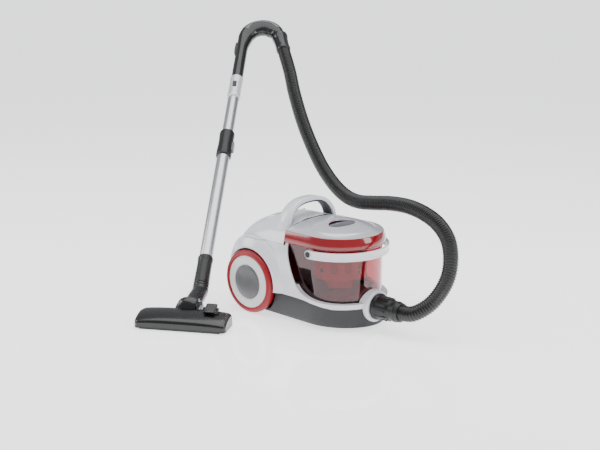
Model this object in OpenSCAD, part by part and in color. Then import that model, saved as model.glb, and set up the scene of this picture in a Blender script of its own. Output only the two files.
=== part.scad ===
// Canister vacuum cleaner with a clear dust bin, a ribbed hose, a telescopic wand and a floor head.
// Canister frame: +X is the front of the canister, +Y its left side, +Z up, and the floor is z = 0.
// The canister's rear axle is at x = 0 there; the last step moves everything to the middle of its box.

/* [Canister] */
// Width over the two rear hub caps
track_w = 280; // [276:1:284]
// Half width of the housing, and radius of its round nose
body_r = 118; // [117:0.5:118.5]
// Distance from the rear axle to the centre of the round nose
nose_x = 189; // [188:1:190]
// How far the housing reaches behind the rear axle
tail_x = 100; // [98:1:102]
// Wall thickness of the mouldings
wall = 3; // [2.5:0.25:3]
// Ground clearance under the base pan
clearance = 8; // [7:1:9]
// Height of the seam between base pan and housing, at the rear
pan_h = 69; // [68:1:70]
// Height of the seam between base pan and rim, at the nose
pan_nose_h = 56; // [55:1:57]
// Height of the seam under the rear top cover
seam_h = 190; // [188:1:192]

/* [Rear wheels] */
// Outside diameter of the tyres
tyre_d = 160; // [158:1:161]
// Diameter of the white wheel disc
disc_d = 136; // [134:1:138]
// Diameter of the grey hub cap
hub_d = 86; // [80:1:88]
// Width of a tyre
tyre_w = 22; // [20:1:23]
// Diameter of an axle
axle_d = 12; // [10:1:13]

/* [Dust bin] */
// Radius of the clear cup
cup_r = 103; // [102:0.5:104]
// Wall of the clear cup
cup_wall = 2.5; // [2:0.25:2.5]
// Height of the cup's floor above the ground
cup_low = 68; // [67.5:0.5:69]
// Height of the cup's brim
cup_top = 195.5; // [195:0.5:195.5]
// Largest radius of the red lid ring
ring_r = 111.5; // [111:0.25:111.5]
// Height of the top of the lid
lid_top = 242; // [240:1:243]
// Inner radius of the bail handle
bail_r = 116; // [116:0.25:116.5]
// Height of the bail handle's band
bail_h = 21; // [19:1:21]

/* [Hose] */
// Outside diameter of the hose over its ribs
hose_d = 38; // [36:1:38]
// Rings along the hose
hose_rings = 64; // [48:1:72]

/* [Wand] */
// Angle between the wand and the floor
wand_rise = 37; // [36:1:38]
// Compass direction in which the wand leans away from the floor head
wand_heading = 128; // [127:1:129]
// Outside diameter of the outer tube
outer_d = 35; // [34.5:0.5:35]
// Outside diameter of the inner tube
inner_d = 32; // [31.5:0.5:32]
// Wall of both metal tubes
tube_wall = 1; // [0.8:0.1:1]

/* [Floor head] */
// Length of the floor head
head_len = 228; // [224:1:232]
// Depth of the floor head from front to back
head_dep = 80; // [78:1:82]

/* [Hidden] */
$fn = 64;

fit = 0.05;                      // radial clearance of a shaft in its hole
gap = 0.5;                       // space between parts that move past each other
big = 600;
axle_z = tyre_d / 2;
hub_y = track_w / 2;             // outer face of a hub cap
disc_y = hub_y - 5;              // outer face of a wheel disc
arch_r = tyre_d / 2 + 4;         // inner radius of a wheel arch
bulk_x = 105;                    // front face of the partition behind the bin is bulk_x + wall
inlet_z = 56;                    // height of the hose inlet
deck_z = 65.5;                   // top of the deck under the bin
inlet_x = nose_x + body_r + 5;   // front face of the inlet ring
inlet_r = 39;
cuff_r = 28;                     // radius of the connector where it enters the inlet
caster_x = 222;
caster_r = 17;
pivot_x = nose_x + 6;            // bail handle pivot
pivot_z = cup_top - 11;
pin_r = 5;
ring_top = 226;
motor_y = 45;
motor_z = 102;
motor_r = 50;
reel_x = -14;
reel_y = -70;
reel_z = 92;
port = [140, 52];                // where the air enters the bin, and
port_r = 16;                     // its radius

// The wand's own frame: z runs up the tube from the floor, y is level, to the left of the lean.
foot = [-70, -245, 0];
neck_s = 74;                     // distances along the wand from the floor: the bend of the elbow,
outer_s = 182;                   // where the outer tube shows,
sleeve_s = 532;                  // the adjuster sleeve,
inner_s = 622;                   // where the inner tube shows,
collar_s = 757;                  // the handle's socket,
grip_s = 839;                    // the start of the curved grip
bend_s = 1010;                   // and the centre of its bend
bend_r = 54;
bend_a = 163;                    // how far the handle bends over
swivel_l = 70;                   // length of the hose's swivel cuff
grip_r = 18;
// The floor head's frame: x along the head, y backwards, z up. The head is turned a little about the
// knee of the elbow, and its origin is close to where the wand meets the floor.
head_yaw = -5.5;
ball = [0, -25, 30];
ball_r = 26;
head_front = -122;
knee = [0, neck_s * cos(wand_rise), neck_s * sin(wand_rise)];
duct_r = 18;

// Moves the whole part so that its origin is at the middle of its box, on the floor.
middle = [-102, 41];
module at_middle() { translate([-middle[0], -middle[1], 0]) children(); }
module in_wand() { at_middle() translate(foot) rotate([0, 90 - wand_rise, wand_heading]) children(); }
module in_head() {
  at_middle() translate(foot) rotate([0, 0, wand_heading - 90]) translate([0, knee[1], 0])
    rotate([0, 0, head_yaw]) translate([0, -knee[1], 0]) children();
}

// ---- outlines shared by several parts ----
module rod_x(r, x0, x1) { translate([x0, 0, 0]) rotate([0, 90, 0]) cylinder(r = r, h = x1 - x0); }
module rod_y(r, y0, y1) { translate([0, y1, 0]) rotate([90, 0, 0]) cylinder(r = r, h = y1 - y0); }
module slab(x0, x1, y0, y1, z0, z1) { translate([x0, y0, z0]) cube([x1 - x0, y1 - y0, z1 - z0]); }

// Plan of everything that follows the round nose: a half circle with straight sides back to x0.
module nose_plan(r, x0) {
  intersection() {
    union() {
      translate([nose_x, 0]) circle(r, $fn = 96);
      translate([x0, -r]) square([nose_x - x0, 2 * r]);
    }
    translate([x0, -r]) square([big, 2 * r]);
  }
}
module nose_prism(r, x0, z0, z1) { translate([0, 0, z0]) linear_extrude(z1 - z0) nose_plan(r, x0); }

// Plan of the whole canister, drawn in by d all round.
tail_r = 55;
module body_plan(d) {
  translate([nose_x, 0]) circle(body_r - d, $fn = 96);
  translate([tail_r - tail_x, d - body_r]) square([nose_x + tail_x - tail_r, 2 * (body_r - d)]);
  for (s = [-1, 1]) translate([tail_r - tail_x, s * (body_r - tail_r)]) circle(tail_r - d);
  translate([d - tail_x, tail_r - body_r]) square([tail_r, 2 * (body_r - tail_r)]);
}
// Side view of the housing: the tail rises and leans in, and the top runs level to the lid.
module side_view(d) {
  polygon([[d - tail_x + 1, 0], [d - tail_x + 0.1, 112 - d], [d - tail_x + 12, 158 - d], [d - 71, seam_h - d],
    [d - 50, 209 - d], [-20, 227 - d], [25, 238 - d], [70, 243 - d], [big, 243 - d], [big, 0]]);
}
// View from behind: the sides lean in from half height and round over to the top.
module rear_view(d) {
  half = [[body_r + 5, 0], [body_r + 5, 110], [body_r - 3 - d, 170], [body_r - 9 - d, 200],
    [body_r - 18 - d, 219 - d], [body_r - 42 - d, 233 - d], [body_r - 78 - d, 242 - d], [0, 246 - d]];
  polygon(concat(half, [for (i = [len(half) - 2:-1:0]) [-half[i][0], half[i][1]]]));
}
module housing(d) {
  intersection() {
    linear_extrude(300) body_plan(d);
    translate([0, big / 2, 0]) rotate([90, 0, 0]) linear_extrude(big) side_view(d);
    translate([-big / 2, 0, 0]) rotate([90, 0, 90]) linear_extrude(big) rear_view(d);
  }
}
// Side view of the seam between pan and housing.
module below_seam() {
  rotate([90, 0, 0]) translate([0, 0, -big / 2]) linear_extrude(big)
    polygon([[-big, -10], [-big, pan_h], [175, pan_h], [255, pan_nose_h], [big, pan_nose_h], [big, -10]]);
}
// The open bay in front: everything above this line belongs to the bin.
module above_rim() {
  rotate([90, 0, 0]) translate([0, 0, -big / 2]) linear_extrude(big)
    polygon([[112, big], [116, seam_h], [131, 142], [146, 115], [160, 92], [175, 81], [222, 71],
      [255, 68], [big, 68], [big, big]]);
}
module wheel_hollow(s, d) {
  translate([0, 0, axle_z]) rotate([s * 90, 0, 0]) translate([0, 0, body_r - 14 - d])
    cylinder(r = arch_r + 3 + d, h = 60);
}

// ---- canister ----
// The deck under the bin stands on four posts, and a screw holds each post from below.
posts = [[120, -80], [120, 85], [235, -75], [225, 82]];
screw_r = 2;
// A section through the pan, as a half view: its sides lean out as they rise.
pan_out = 10;
module pan_half(d) {
  polygon([[0, clearance + d], [body_r - pan_out - d, clearance + d], [body_r - pan_out + 4 - d, clearance + 4 + d],
    [body_r - d, pan_nose_h], [body_r - d, 100], [0, 100]]);
}
module pan_solid(d) {
  intersection() {
    union() {
      translate([nose_x, 0, 0]) rotate([0, 0, -90]) rotate_extrude(angle = 180, $fn = 96) pan_half(d);
      for (s = [0, 1]) mirror([0, s, 0]) translate([-tail_x, 0, 0]) rotate([90, 0, 90])
        linear_extrude(nose_x + tail_x) pan_half(d);
    }
    linear_extrude(300) body_plan(d);
  }
}
module base_pan() at_middle() color([0.27, 0.27, 0.29]) difference() {
  union() {
    intersection() {
      difference() { pan_solid(0); pan_solid(wall); }
      below_seam();
    }
    translate([caster_x, 0, clearance]) cylinder(r = 33, h = 40);
  }
  translate([caster_x, 0, clearance - 1]) cylinder(r = 30, h = 35);
  translate([caster_x, 0, 0]) cylinder(r = 5, h = 60);
  for (s = [-1, 1]) wheel_hollow(s, fit);
  translate([0, 0, inlet_z]) rod_x(inlet_r - 4 + fit, nose_x, big);
  for (p = posts) translate([p[0], p[1], 0]) cylinder(r = screw_r + fit, h = clearance + wall + 1);
}
module body_shell() at_middle() color([0.93, 0.93, 0.95]) difference() {
  union() {
    difference() { housing(0); housing(wall); }
    intersection() {
      housing(0);
      difference() {
        nose_prism(body_r, 120, 50, 100);
        nose_prism(cup_r + 2, 0, 0, 200);
      }
    }
  }
  below_seam();
  above_rim();
  translate([0, 0, seam_h]) slab(-big, big, -big, big, 0, big);
  for (s = [-1, 1]) wheel_hollow(s, fit);
  translate([0, 0, inlet_z]) rod_x(inlet_r - 4 + fit, nose_x, big);
  slab(-big, 0, -55.5, 55.5, 74.5, 130.5);
  translate([0, -68, 100]) rod_x(9, -big, 0);
}
module rear_cover() at_middle() color([0.94, 0.94, 0.96]) difference() {
  housing(0);
  housing(wall);
  slab(-big, big, -big, big, 0, seam_h);
  slab(bulk_x - 1, big, -big, big, 0, big);
  for (s = [-1, 1]) pedal_place(s) slab(-16.5, 16.5, -23.5, 23.5, -20, 20);
}

module bulkhead() at_middle() color([0.3, 0.3, 0.32]) difference() {
  union() {
    intersection() { housing(wall); slab(bulk_x - 1, bulk_x + 2, -big, big, deck_z, seam_h); }
    intersection() { housing(0); slab(bulk_x - 1, bulk_x + 2, -big, big, seam_h, big); }
  }
  translate([0, 0, 208]) rod_x(20, 0, big);
}
module bin_deck() at_middle() color([0.3, 0.3, 0.32]) difference() {
  union() {
    nose_prism(cup_r + 1.5, bulk_x - 1, deck_z - wall, deck_z);
    for (p = posts) translate([p[0], p[1], clearance + wall]) cylinder(r = 5, h = deck_z - clearance - 2 * wall);
  }
  for (p = posts) translate([p[0], p[1], 0]) cylinder(r = screw_r, h = clearance + 18);
  translate([port[0], port[1], 0]) cylinder(r = port_r, h = 100);
}

// The carrying handle is an arch over the canister; its legs end on the rear cover.
arch_x = 78;
arch_half = 90;
arch_rise = 94;
module arch_view(w, h) {
  power = 2 / 2.6;
  polygon([for (a = [0:6:180]) [w * sign(cos(a)) * pow(abs(cos(a)), power), h * pow(sin(a), power)]]);
}
module arch(w0, w1, half_x) {
  difference() {
    translate([arch_x - half_x, 0, seam_h + 5]) rotate([90, 0, 90]) linear_extrude(2 * half_x)
      difference() {
        arch_view(arch_half - w0, arch_rise - w0);
        arch_view(arch_half - w1, arch_rise - w1);
      }
    housing(0);
  }
}
module carry_handle() at_middle() color([0.92, 0.92, 0.94]) arch(0, 9, 15);
module handle_grip() at_middle() color([0.45, 0.45, 0.47]) arch(9, 14, 12);

// ---- rear wheels; s is 1 on the left side and -1 on the right ----
module on_side(s) { mirror([0, s < 0 ? 1 : 0, 0]) translate([0, 0, axle_z]) children(); }
module wheel_arch(s) at_middle() color([0.93, 0.93, 0.95]) difference() {
  on_side(s) {
    difference() {
      rod_y(arch_r + 3, body_r - 14, body_r);
      rod_y(arch_r, body_r - 11, body_r + 1);
    }
    rod_y(axle_d / 2 + 6, body_r - 20, body_r - 13);
    difference() {
      rod_y(arch_r + 7, body_r, body_r + 10);
      rod_y(arch_r, body_r - 1, body_r + 11);
      translate([0, 0, pan_h - axle_z]) slab(-big, big, 0, big, -big, 0);
    }
  }
  on_side(s) rod_y(axle_d / 2, 0, big);
  slab(-big, big, -big, big, -big, clearance);
}
module wheel_arches() for (s = [-1, 1]) wheel_arch(s);
module wheel_axles() at_middle() color([0.7, 0.7, 0.72])
  for (s = [-1, 1]) on_side(s) rod_y(axle_d / 2, body_r - 20, disc_y - 3.2);
module wheel_disc(s) at_middle() color([0.93, 0.93, 0.95]) on_side(s) difference() {
  rod_y(disc_d / 2, disc_y - 18, disc_y);
  rod_y(disc_d / 2 - 8, disc_y - 19, disc_y - 10);
  rod_y(hub_d / 2, disc_y - 3, disc_y + 1);
  rod_y(axle_d / 2 + fit, 0, big);
}
module wheel_disc_right() wheel_disc(-1);
module wheel_disc_left() wheel_disc(1);
module tyre(s) at_middle() color([0.8, 0.1, 0.15]) on_side(s) translate([0, disc_y - 1, 0]) rotate([90, 0, 0])
  rotate_extrude($fn = 96) polygon([[disc_d / 2, 0], [tyre_d / 2 - 5, 0], [tyre_d / 2 - 1.5, 1.5],
    [tyre_d / 2, 5], [tyre_d / 2, tyre_w - 4], [tyre_d / 2 - 3, tyre_w], [disc_d / 2 - 6, tyre_w],
    [disc_d / 2 - 6, tyre_w - 4], [disc_d / 2, tyre_w - 4]]);
module tyre_right() tyre(-1);
module tyre_left() tyre(1);
module hub_cap(s) at_middle() color([0.5, 0.5, 0.51]) on_side(s) translate([0, disc_y - 3, 0]) rotate([-90, 0, 0])
  rotate_extrude($fn = 96) polygon([[0, 0], [hub_d / 2, 0], [hub_d / 2, 4], [hub_d / 2 - 2, 6], [0, 8]]);
module hub_cap_right() hub_cap(-1);
module hub_cap_left() hub_cap(1);

// ---- front caster ----
caster_trail = 9;
module caster_fork() at_middle() color([0.3, 0.3, 0.32]) translate([caster_x, 0, 0]) difference() {
  union() {
    translate([0, 0, 36]) cylinder(r = 22, h = 5);
    cylinder(r = 5 - fit, h = 50);
    for (s = [-1, 1]) translate([-caster_trail, 0, caster_r]) mirror([0, s < 0 ? 1 : 0, 0]) {
      rod_y(7, 9, 12);
      slab(-7, 7, 9, 12, 0, 20);
    }
  }
  translate([-caster_trail, 0, caster_r]) rod_y(3, -20, 20);
  slab(-30, 30, -8.8, 8.8, -1, 35.9);
}
module caster_wheel() at_middle() color([0.35, 0.35, 0.37])
  translate([caster_x - caster_trail, 0, caster_r]) difference() {
    rod_y(caster_r, -8, 8);
    rod_y(3 + fit, -9, 9);
  }
module caster_pin() at_middle() color([0.7, 0.7, 0.72])
  translate([caster_x - caster_trail, 0, caster_r]) rod_y(3, -12, 12);

// ---- hose inlet ----
module inlet_ring() at_middle() color([0.88, 0.88, 0.9]) difference() {
  translate([0, 0, inlet_z]) {
    difference() {
      rod_x(inlet_r, nose_x + 90, inlet_x);
      translate([0, 0, -inlet_z]) pan_solid(0);
    }
    rod_x(inlet_r - 4, nose_x + cup_r + 3, inlet_x);
  }
  translate([0, 0, inlet_z]) rod_x(cuff_r + fit, 0, big);
}
module inlet_duct() at_middle() color([0.3, 0.3, 0.32]) difference() {
  union() {
    intersection() {
      pan_solid(wall + gap);
      nose_prism(cup_r + 1.9, 257, 0, 61.5);
      slab(257, big, -30, 68, 0, 61.5);
    }
    translate([0, port[1], 36]) rod_x(port_r + 2, port[0], 258);
    translate([port[0], port[1], 18]) cylinder(r = port_r + 2, h = 44.3);
  }
  intersection() { pan_solid(wall + 3); slab(260, big, -27, 65, 0, 58.5); }
  translate([0, port[1], 36]) rod_x(port_r, port[0], 261);
  translate([port[0], port[1], 20]) cylinder(r = port_r, h = 50);
  translate([0, 0, inlet_z]) rod_x(cuff_r, 262, big);
}

// ---- motor, filters and cord reel ----
module at_motor() { translate([0, motor_y, motor_z]) children(); }
module motor_housing() at_middle() color([0.6, 0.6, 0.62]) at_motor() difference() {
  rod_x(motor_r, -50, 76);
  rod_x(motor_r - 3, 52, 73);
  rod_x(18, 70, 80);
  rod_x(4 + fit, -20, 60);
}
module motor_mounts() at_middle() color([0.15, 0.15, 0.16]) difference() {
  for (x = [-42, 32]) slab(x, x + 18, 2, 88, clearance + wall, 70);
  at_motor() rod_x(motor_r, -big, big);
}
module motor_shaft() at_middle() color([0.7, 0.7, 0.72]) at_motor() rod_x(4, -19, 70);
module fan_impeller() at_middle() color([0.75, 0.76, 0.78]) at_motor() difference() {
  union() {
    rod_x(44, 54, 56);
    rod_x(9, 54, 68);
    for (a = [0:40:320]) rotate([a, 0, 0]) slab(55, 68, 8, 42, -0.8, 0.8);
    difference() { rod_x(44, 68, 69.5); rod_x(20, 67, 70); }
  }
  rod_x(4, 0, big);
}
module motor_filter() at_middle() color([0.25, 0.25, 0.27]) slab(90, bulk_x - 1.2, -45, 45, 186, 230);
module exhaust_filter() at_middle() color([0.9, 0.9, 0.88]) slab(-94, -80, -50, 50, 78, 127);
module exhaust_grille() at_middle() color([0.35, 0.35, 0.37]) difference() {
  slab(1.5 - tail_x - wall, 3.5 - tail_x, -55, 55, 75, 130);
  for (y = [-48:12:48]) slab(-big, 0, y - 3, y + 3, 81, 124);
}
module reel_drum() at_middle() color([0.2, 0.2, 0.21]) translate([reel_x, 0, reel_z]) difference() {
  union() {
    rod_y(30, reel_y - 26, reel_y + 26);
    for (y = [reel_y - 26, reel_y + 23.5]) rod_y(60, y, y + 2.5);
  }
  rod_y(6 + fit, -big, 0);
}
module reel_spindle() at_middle() color([0.3, 0.3, 0.32]) {
  translate([reel_x, 0, reel_z]) rod_y(6, reel_y - 31, reel_y + 32);
  slab(reel_x - 12, reel_x + 12, reel_y + 32, reel_y + 36, clearance + wall, reel_z + 12);
}
module cord_outlet() at_middle() color([0.15, 0.15, 0.16]) translate([0, -68, 100]) difference() {
  union() { rod_x(12, -104, -100.3); rod_x(9, -101, -92); }
  rod_x(4.2, -big, 0);
}
module pedal_place(s) { translate([2, s * 32, 232.4]) rotate([0, -13.7, 0]) children(); }
module pedal(s) {
  pedal_place(s) {
    slab(-16, 16, -23, 23, -6, 3);
    slab(-19, 19, -26, 26, -7.5, -4.4);
  }
}
module power_pedal() at_middle() color([0.86, 0.86, 0.88]) pedal(-1);
module rewind_pedal() at_middle() color([0.86, 0.86, 0.88]) pedal(1);
// Screws that hold the deck's posts; their heads bear on the pan from below.
module pan_screws() at_middle() color([0.7, 0.7, 0.72])
  for (p = posts) translate([p[0], p[1], clearance - 2.5]) {
    cylinder(r = 4, h = 2.5);
    cylinder(r = screw_r, h = 20.5);
  }

// ---- dust bin ----
module dust_cup() at_middle() color([0.5, 0.4, 0.42, 0.5]) difference() {
  union() {
    difference() {
      nose_prism(cup_r, bulk_x + 7, cup_low, cup_top);
      nose_prism(cup_r - cup_wall, bulk_x + 7 + cup_wall, cup_low + wall, big);
    }
    for (s = [-1, 1]) translate([pivot_x, 0, pivot_z]) mirror([0, s < 0 ? 1 : 0, 0]) rod_y(8, cup_r - 1.5, cup_r + 2);
    translate([port[0], port[1], cup_low]) cylinder(r = port_r + 2, h = 42);
  }
  translate([port[0], port[1], 0]) cylinder(r = port_r, h = 200);
}
module bail_pins() at_middle() color([0.2, 0.2, 0.21]) translate([pivot_x, 0, pivot_z])
  for (s = [0, 1]) mirror([0, s, 0]) {
    rod_y(pin_r, cup_r + 2, bail_r + 7);
    rod_y(7.5, bail_r + 5, bail_r + 7);
  }
module bail_handle() at_middle() color([0.88, 0.88, 0.9]) difference() {
  union() {
    translate([nose_x, 0, pivot_z - bail_h / 2]) difference() {
      cylinder(r = bail_r + 4.5, h = bail_h, $fn = 96);
      translate([0, 0, -1]) cylinder(r = bail_r, h = bail_h + 2, $fn = 96);
      slab(-big, pivot_x - nose_x, -big, big, -1, big);
    }
    translate([pivot_x, 0, pivot_z]) for (s = [0, 1]) mirror([0, s, 0]) rod_y(bail_h / 2, bail_r, bail_r + 4.3);
  }
  translate([pivot_x, 0, pivot_z]) rod_y(pin_r + fit, -big, big);
}
shroud_r = 66;
module cyclone_shroud() at_middle() color([0.5, 0.1, 0.12]) {
  translate([nose_x, 0, 0]) difference() {
    translate([0, 0, 112]) cylinder(r = shroud_r, h = 81);
    translate([0, 0, 111]) cylinder(r = shroud_r - 2, h = 90);
    for (a = [0:30:330]) rotate([0, 0, a]) slab(shroud_r - 9, shroud_r + 5, -8, 8, 128, 176);
  }
  difference() {
    nose_prism(98.8, bulk_x + 10.5, 193, 196);
    translate([nose_x, 0, 190]) cylinder(r = 30, h = 10);
  }
}
module cyclone_cone() at_middle() color([0.7, 0.1, 0.14]) translate([nose_x, 0, 84]) difference() {
  cylinder(r1 = 34, r2 = 56, h = 109);
  translate([0, 0, -1]) cylinder(r1 = 31.8, r2 = 54, h = 110.01);
}
lid_back = bulk_x + 2.5;
module lid_ring_half() {
  polygon([[98, cup_top + 0.5], [ring_r - 1, cup_top + 0.5], [ring_r, 199], [ring_r, 206], [ring_r - 1.8, 214],
    [ring_r - 4, 220], [ring_r - 6.5, ring_top], [98, ring_top]]);
}
// A shape that follows the round nose in front and runs straight back on both sides.
module follow_nose(x0) {
  translate([nose_x, 0, 0]) rotate([0, 0, -90]) rotate_extrude(angle = 180, $fn = 96) children();
  for (s = [0, 1]) mirror([0, s, 0]) translate([x0, 0, 0]) rotate([90, 0, 90]) linear_extrude(nose_x - x0) children();
}
module lid_ring() at_middle() color([0.72, 0.08, 0.12]) {
  follow_nose(lid_back) lid_ring_half();
  slab(lid_back, lid_back + 4, -98.01, 98.01, cup_top + 0.5, ring_top);
}
// The dome is where two lying cylinders and the lid's own outline overlap. Both cylinders come down to
// the ring a little outside that outline, which leaves the dome a low edge.
dome_edge = 104.5;
dome_x = 150;
dome_rise = lid_top - ring_top;
dome_half = dome_edge + 2;
dome_run = nose_x + dome_half - dome_x;
dome_r = (dome_half * dome_half + dome_rise * dome_rise) / (2 * dome_rise);
front_rise = dome_rise + 1.5;
front_r = (dome_run * dome_run + front_rise * front_rise) / (2 * front_rise);
module dome_solid(d, z0) {
  intersection() {
    nose_prism(dome_edge - d, lid_back + d, z0, big);
    translate([0, 0, lid_top - dome_r]) rod_x(dome_r - d, 0, big, $fn = 200);
    translate([dome_x, 0, ring_top + front_rise - front_r]) rod_y(front_r - d, -150, 150, $fn = 300);
  }
}
module lens(d) {
  translate([button_x, button_y]) rotate(button_turn) intersection() {
    translate([lens_r - lens_w / 2, 0]) circle(lens_r + d);
    translate([lens_w / 2 - lens_r, 0]) circle(lens_r + d);
  }
}
button_x = 194;
button_y = 0;
button_turn = 0;
lens_w = 30;
lens_l = 72;
lens_r = (lens_l * lens_l + lens_w * lens_w) / (4 * lens_w);
module lid_dome() at_middle() color([0.9, 0.9, 0.92]) difference() {
  dome_solid(0, ring_top);
  dome_solid(wall, 0);
  linear_extrude(big) lens(gap);
}
module lid_button() at_middle() color([0.5, 0.46, 0.52]) intersection() {
  translate([0, 0, ring_top + 8]) linear_extrude(60) lens(0);
  dome_solid(-0.6, ring_top);
}

// ---- hose ----
connector_end = inlet_x + 76;
module hose_connector() at_middle() color([0.14, 0.14, 0.15]) translate([0, 0, inlet_z]) difference() {
  union() {
    rod_x(cuff_r, nose_x + cup_r + 6, inlet_x + 1);
    rod_x(inlet_r - 7, inlet_x + 0.5, inlet_x + 9);
    translate([inlet_x + 8, 0, 0]) rotate([0, 90, 0]) cylinder(r1 = cuff_r + 1, r2 = cuff_r - 2, h = 40);
    rod_x(23.5, inlet_x + 47, connector_end);
    rod_x(25, inlet_x + 58, inlet_x + 66);
  }
  rod_x(17, 0, big);
  slab(inlet_x + 13.5, inlet_x + 40.5, -9.5, 9.5, 22, 40);
}
module connector_latch() at_middle() color([0.22, 0.22, 0.24])
  slab(inlet_x + 14, inlet_x + 40, -9, 9, inlet_z + 24.5, inlet_z + 29.5);

// The hose runs from the connector up and round behind the canister to the curved handle.
hose_route = [[420, 4, 61], [450, 22, 84], [466, 44, 115], [470, 66, 150], [460, 86, 190], [436, 104, 225],
  [395, 118, 252], [340, 132, 267], [280, 144, 272], [215, 155, 267], [150, 166, 256], [85, 183, 246],
  [25, 202, 248], [-40, 226, 265], [-110, 254, 298], [-180, 285, 345], [-250, 318, 404], [-320, 357, 471],
  [-376, 395, 524]];
function turn(p, a) = [p[0] * cos(a) - p[1] * sin(a), p[0] * sin(a) + p[1] * cos(a), p[2]];
function lean(p, a) = [p[0] * cos(a) + p[2] * sin(a), p[1], p[2] * cos(a) - p[0] * sin(a)];
function from_wand(p) = foot + turn(lean(p, 90 - wand_rise), wand_heading);
cuff_from = [0, -bend_r - bend_r * cos(180 - bend_a), bend_s + bend_r * sin(180 - bend_a)];
cuff_way = [0, -sin(180 - bend_a), -cos(180 - bend_a)];
hose_first = [connector_end + fit, 0, inlet_z];
hose_last = from_wand(cuff_from + (swivel_l + fit) * cuff_way);
hose_ends = concat([hose_first], hose_route, [hose_last]);
hose_knots = concat([hose_first - [28, 0, 0]], hose_ends, [from_wand(cuff_from + (swivel_l - 30) * cuff_way)]);
function curve(p, t) = let (i = min(floor(t), len(p) - 4), u = t - i)
  0.5 * ((2 * p[i + 1]) + (p[i + 2] - p[i]) * u + (2 * p[i] - 5 * p[i + 1] + 4 * p[i + 2] - p[i + 3]) * u * u
    + (3 * p[i + 1] - p[i] - 3 * p[i + 2] + p[i + 3]) * u * u * u);
function unit(v) = v / norm(v);
hose_sides = 10;
module suction_hose() at_middle() color([0.1, 0.1, 0.11]) {
  n = hose_rings;
  spine = [for (i = [0:n]) curve(hose_knots, i / n * (len(hose_ends) - 1))];
  ways = [for (i = [0:n]) i == 0 ? [1, 0, 0] : i == n ? unit(-lean_way()) : unit(spine[i + 1] - spine[i - 1])];
  points = [for (i = [0:n]) let (side = unit(cross([0, 0, 1], ways[i])), top = cross(ways[i], side))
    for (k = [0:hose_sides - 1]) spine[i] + hose_d / 2 * (cos(k * 360 / hose_sides) * side
      + sin(k * 360 / hose_sides) * top)];
  walls = [for (i = [0:n - 1], k = [0:hose_sides - 1]) let (a = i * hose_sides + k,
    b = i * hose_sides + (k + 1) % hose_sides) [a, a + hose_sides, b + hose_sides, b]];
  polyhedron(points, concat([[for (k = [0:hose_sides - 1]) k]], walls,
    [[for (k = [hose_sides - 1:-1:0]) n * hose_sides + k]]), convexity = 6);
}
function lean_way() = turn(lean(cuff_way, 90 - wand_rise), wand_heading);

// ---- wand ----
module rod_s(r, s0, s1) { translate([0, 0, s0]) cylinder(r = r, h = s1 - s0); }
module at_cuff() { translate(cuff_from) rotate([bend_a, 0, 0]) children(); }
module swivel_cuff() in_wand() color([0.12, 0.12, 0.13]) at_cuff() difference() {
  rod_s(21.5, 0.4, swivel_l);
  rod_s(16, -1, swivel_l + 1);
}
module tube_s(r, t, s0, s1) {
  difference() { rod_s(r, s0, s1); rod_s(r - t, s0 - 1, s1 + 1); }
}
module curved_handle() in_wand() color([0.2, 0.2, 0.21]) difference() {
  union() {
    tube_s(grip_r, 3, grip_s, bend_s);
    translate([0, -bend_r, bend_s]) rotate([90, 0, 90]) rotate_extrude(angle = bend_a)
      translate([bend_r, 0]) difference() { circle(grip_r); circle(grip_r - 3); }
    at_cuff() tube_s(16 - fit, 2, -4, 14);
  }
  slab(-8, 8, 16, 30, grip_s + 88, grip_s + 164);
}
module bleed_slider() in_wand() color([0.3, 0.3, 0.32]) slab(-7.5, 7.5, 16.5, 23, grip_s + 100, grip_s + 152);
module handle_socket() in_wand() color([0.7, 0.71, 0.72]) difference() {
  rod_s(19.5, collar_s, grip_s);
  rod_s(inner_d / 2, 0, collar_s + 28);
  rod_s(15, 0, grip_s + 1);
  slab(-30, -16.2, -5.5, 5.5, collar_s + 34, collar_s + 54);
}
module socket_latch() in_wand() color([0.2, 0.2, 0.21])
  slab(-20.8, -18.4, -5, 5, collar_s + 34.5, collar_s + 53.5);
module inner_tube() in_wand() color([0.75, 0.76, 0.77]) tube_s(inner_d / 2, tube_wall, 290, collar_s + 28);
module outer_tube() in_wand() color([0.78, 0.79, 0.8]) tube_s(outer_d / 2, tube_wall, outer_s - 20, sleeve_s + 60);
module adjuster_sleeve() in_wand() color([0.12, 0.12, 0.13]) difference() {
  rod_s(21.5, sleeve_s, inner_s);
  rod_s(outer_d / 2, 0, sleeve_s + 60);
  rod_s(inner_d / 2 + fit, 0, big + big);
  slab(-8, 8, -30, -18, sleeve_s + 14, sleeve_s + 58);
}
module adjuster_button() in_wand() color([0.4, 0.4, 0.42])
  slab(-7.5, 7.5, -25, -18.5, sleeve_s + 21, sleeve_s + 51);
module neck_tube() in_wand() color([0.12, 0.12, 0.13]) difference() {
  rod_s(20, neck_s + 20, outer_s);
  rod_s(outer_d / 2, outer_s - 20, outer_s + 9);
  rod_s(15, 0, outer_s + 9);
}

// ---- floor head ----
knee_rise = atan2(knee[2] - ball[2], knee[1] - ball[1]);
knee_run = norm(knee - ball);
module elbow_duct() color([0.16, 0.16, 0.17]) difference() {
  union() {
    in_head() {
      intersection() { translate(ball) sphere(ball_r); slab(-22, 22, -big, big, 0, big); }
      translate(ball) rotate([knee_rise - 90, 0, 0]) cylinder(r = duct_r, h = knee_run);
      translate(knee) sphere(duct_r + 1);
    }
    in_wand() {
      rod_s(20, neck_s + 2, neck_s + 19.6);
      rod_s(15 - fit, neck_s, neck_s + 36);
    }
  }
  in_head() {
    translate(ball) sphere(14);
    translate(ball) rotate([knee_rise - 90, 0, 0]) cylinder(r = 12, h = knee_run);
    translate(knee) sphere(12.7);
    translate(ball) rod_x(4 + fit, -30, 30);
  }
  in_wand() rod_s(12, neck_s, neck_s + 37);
}
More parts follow.
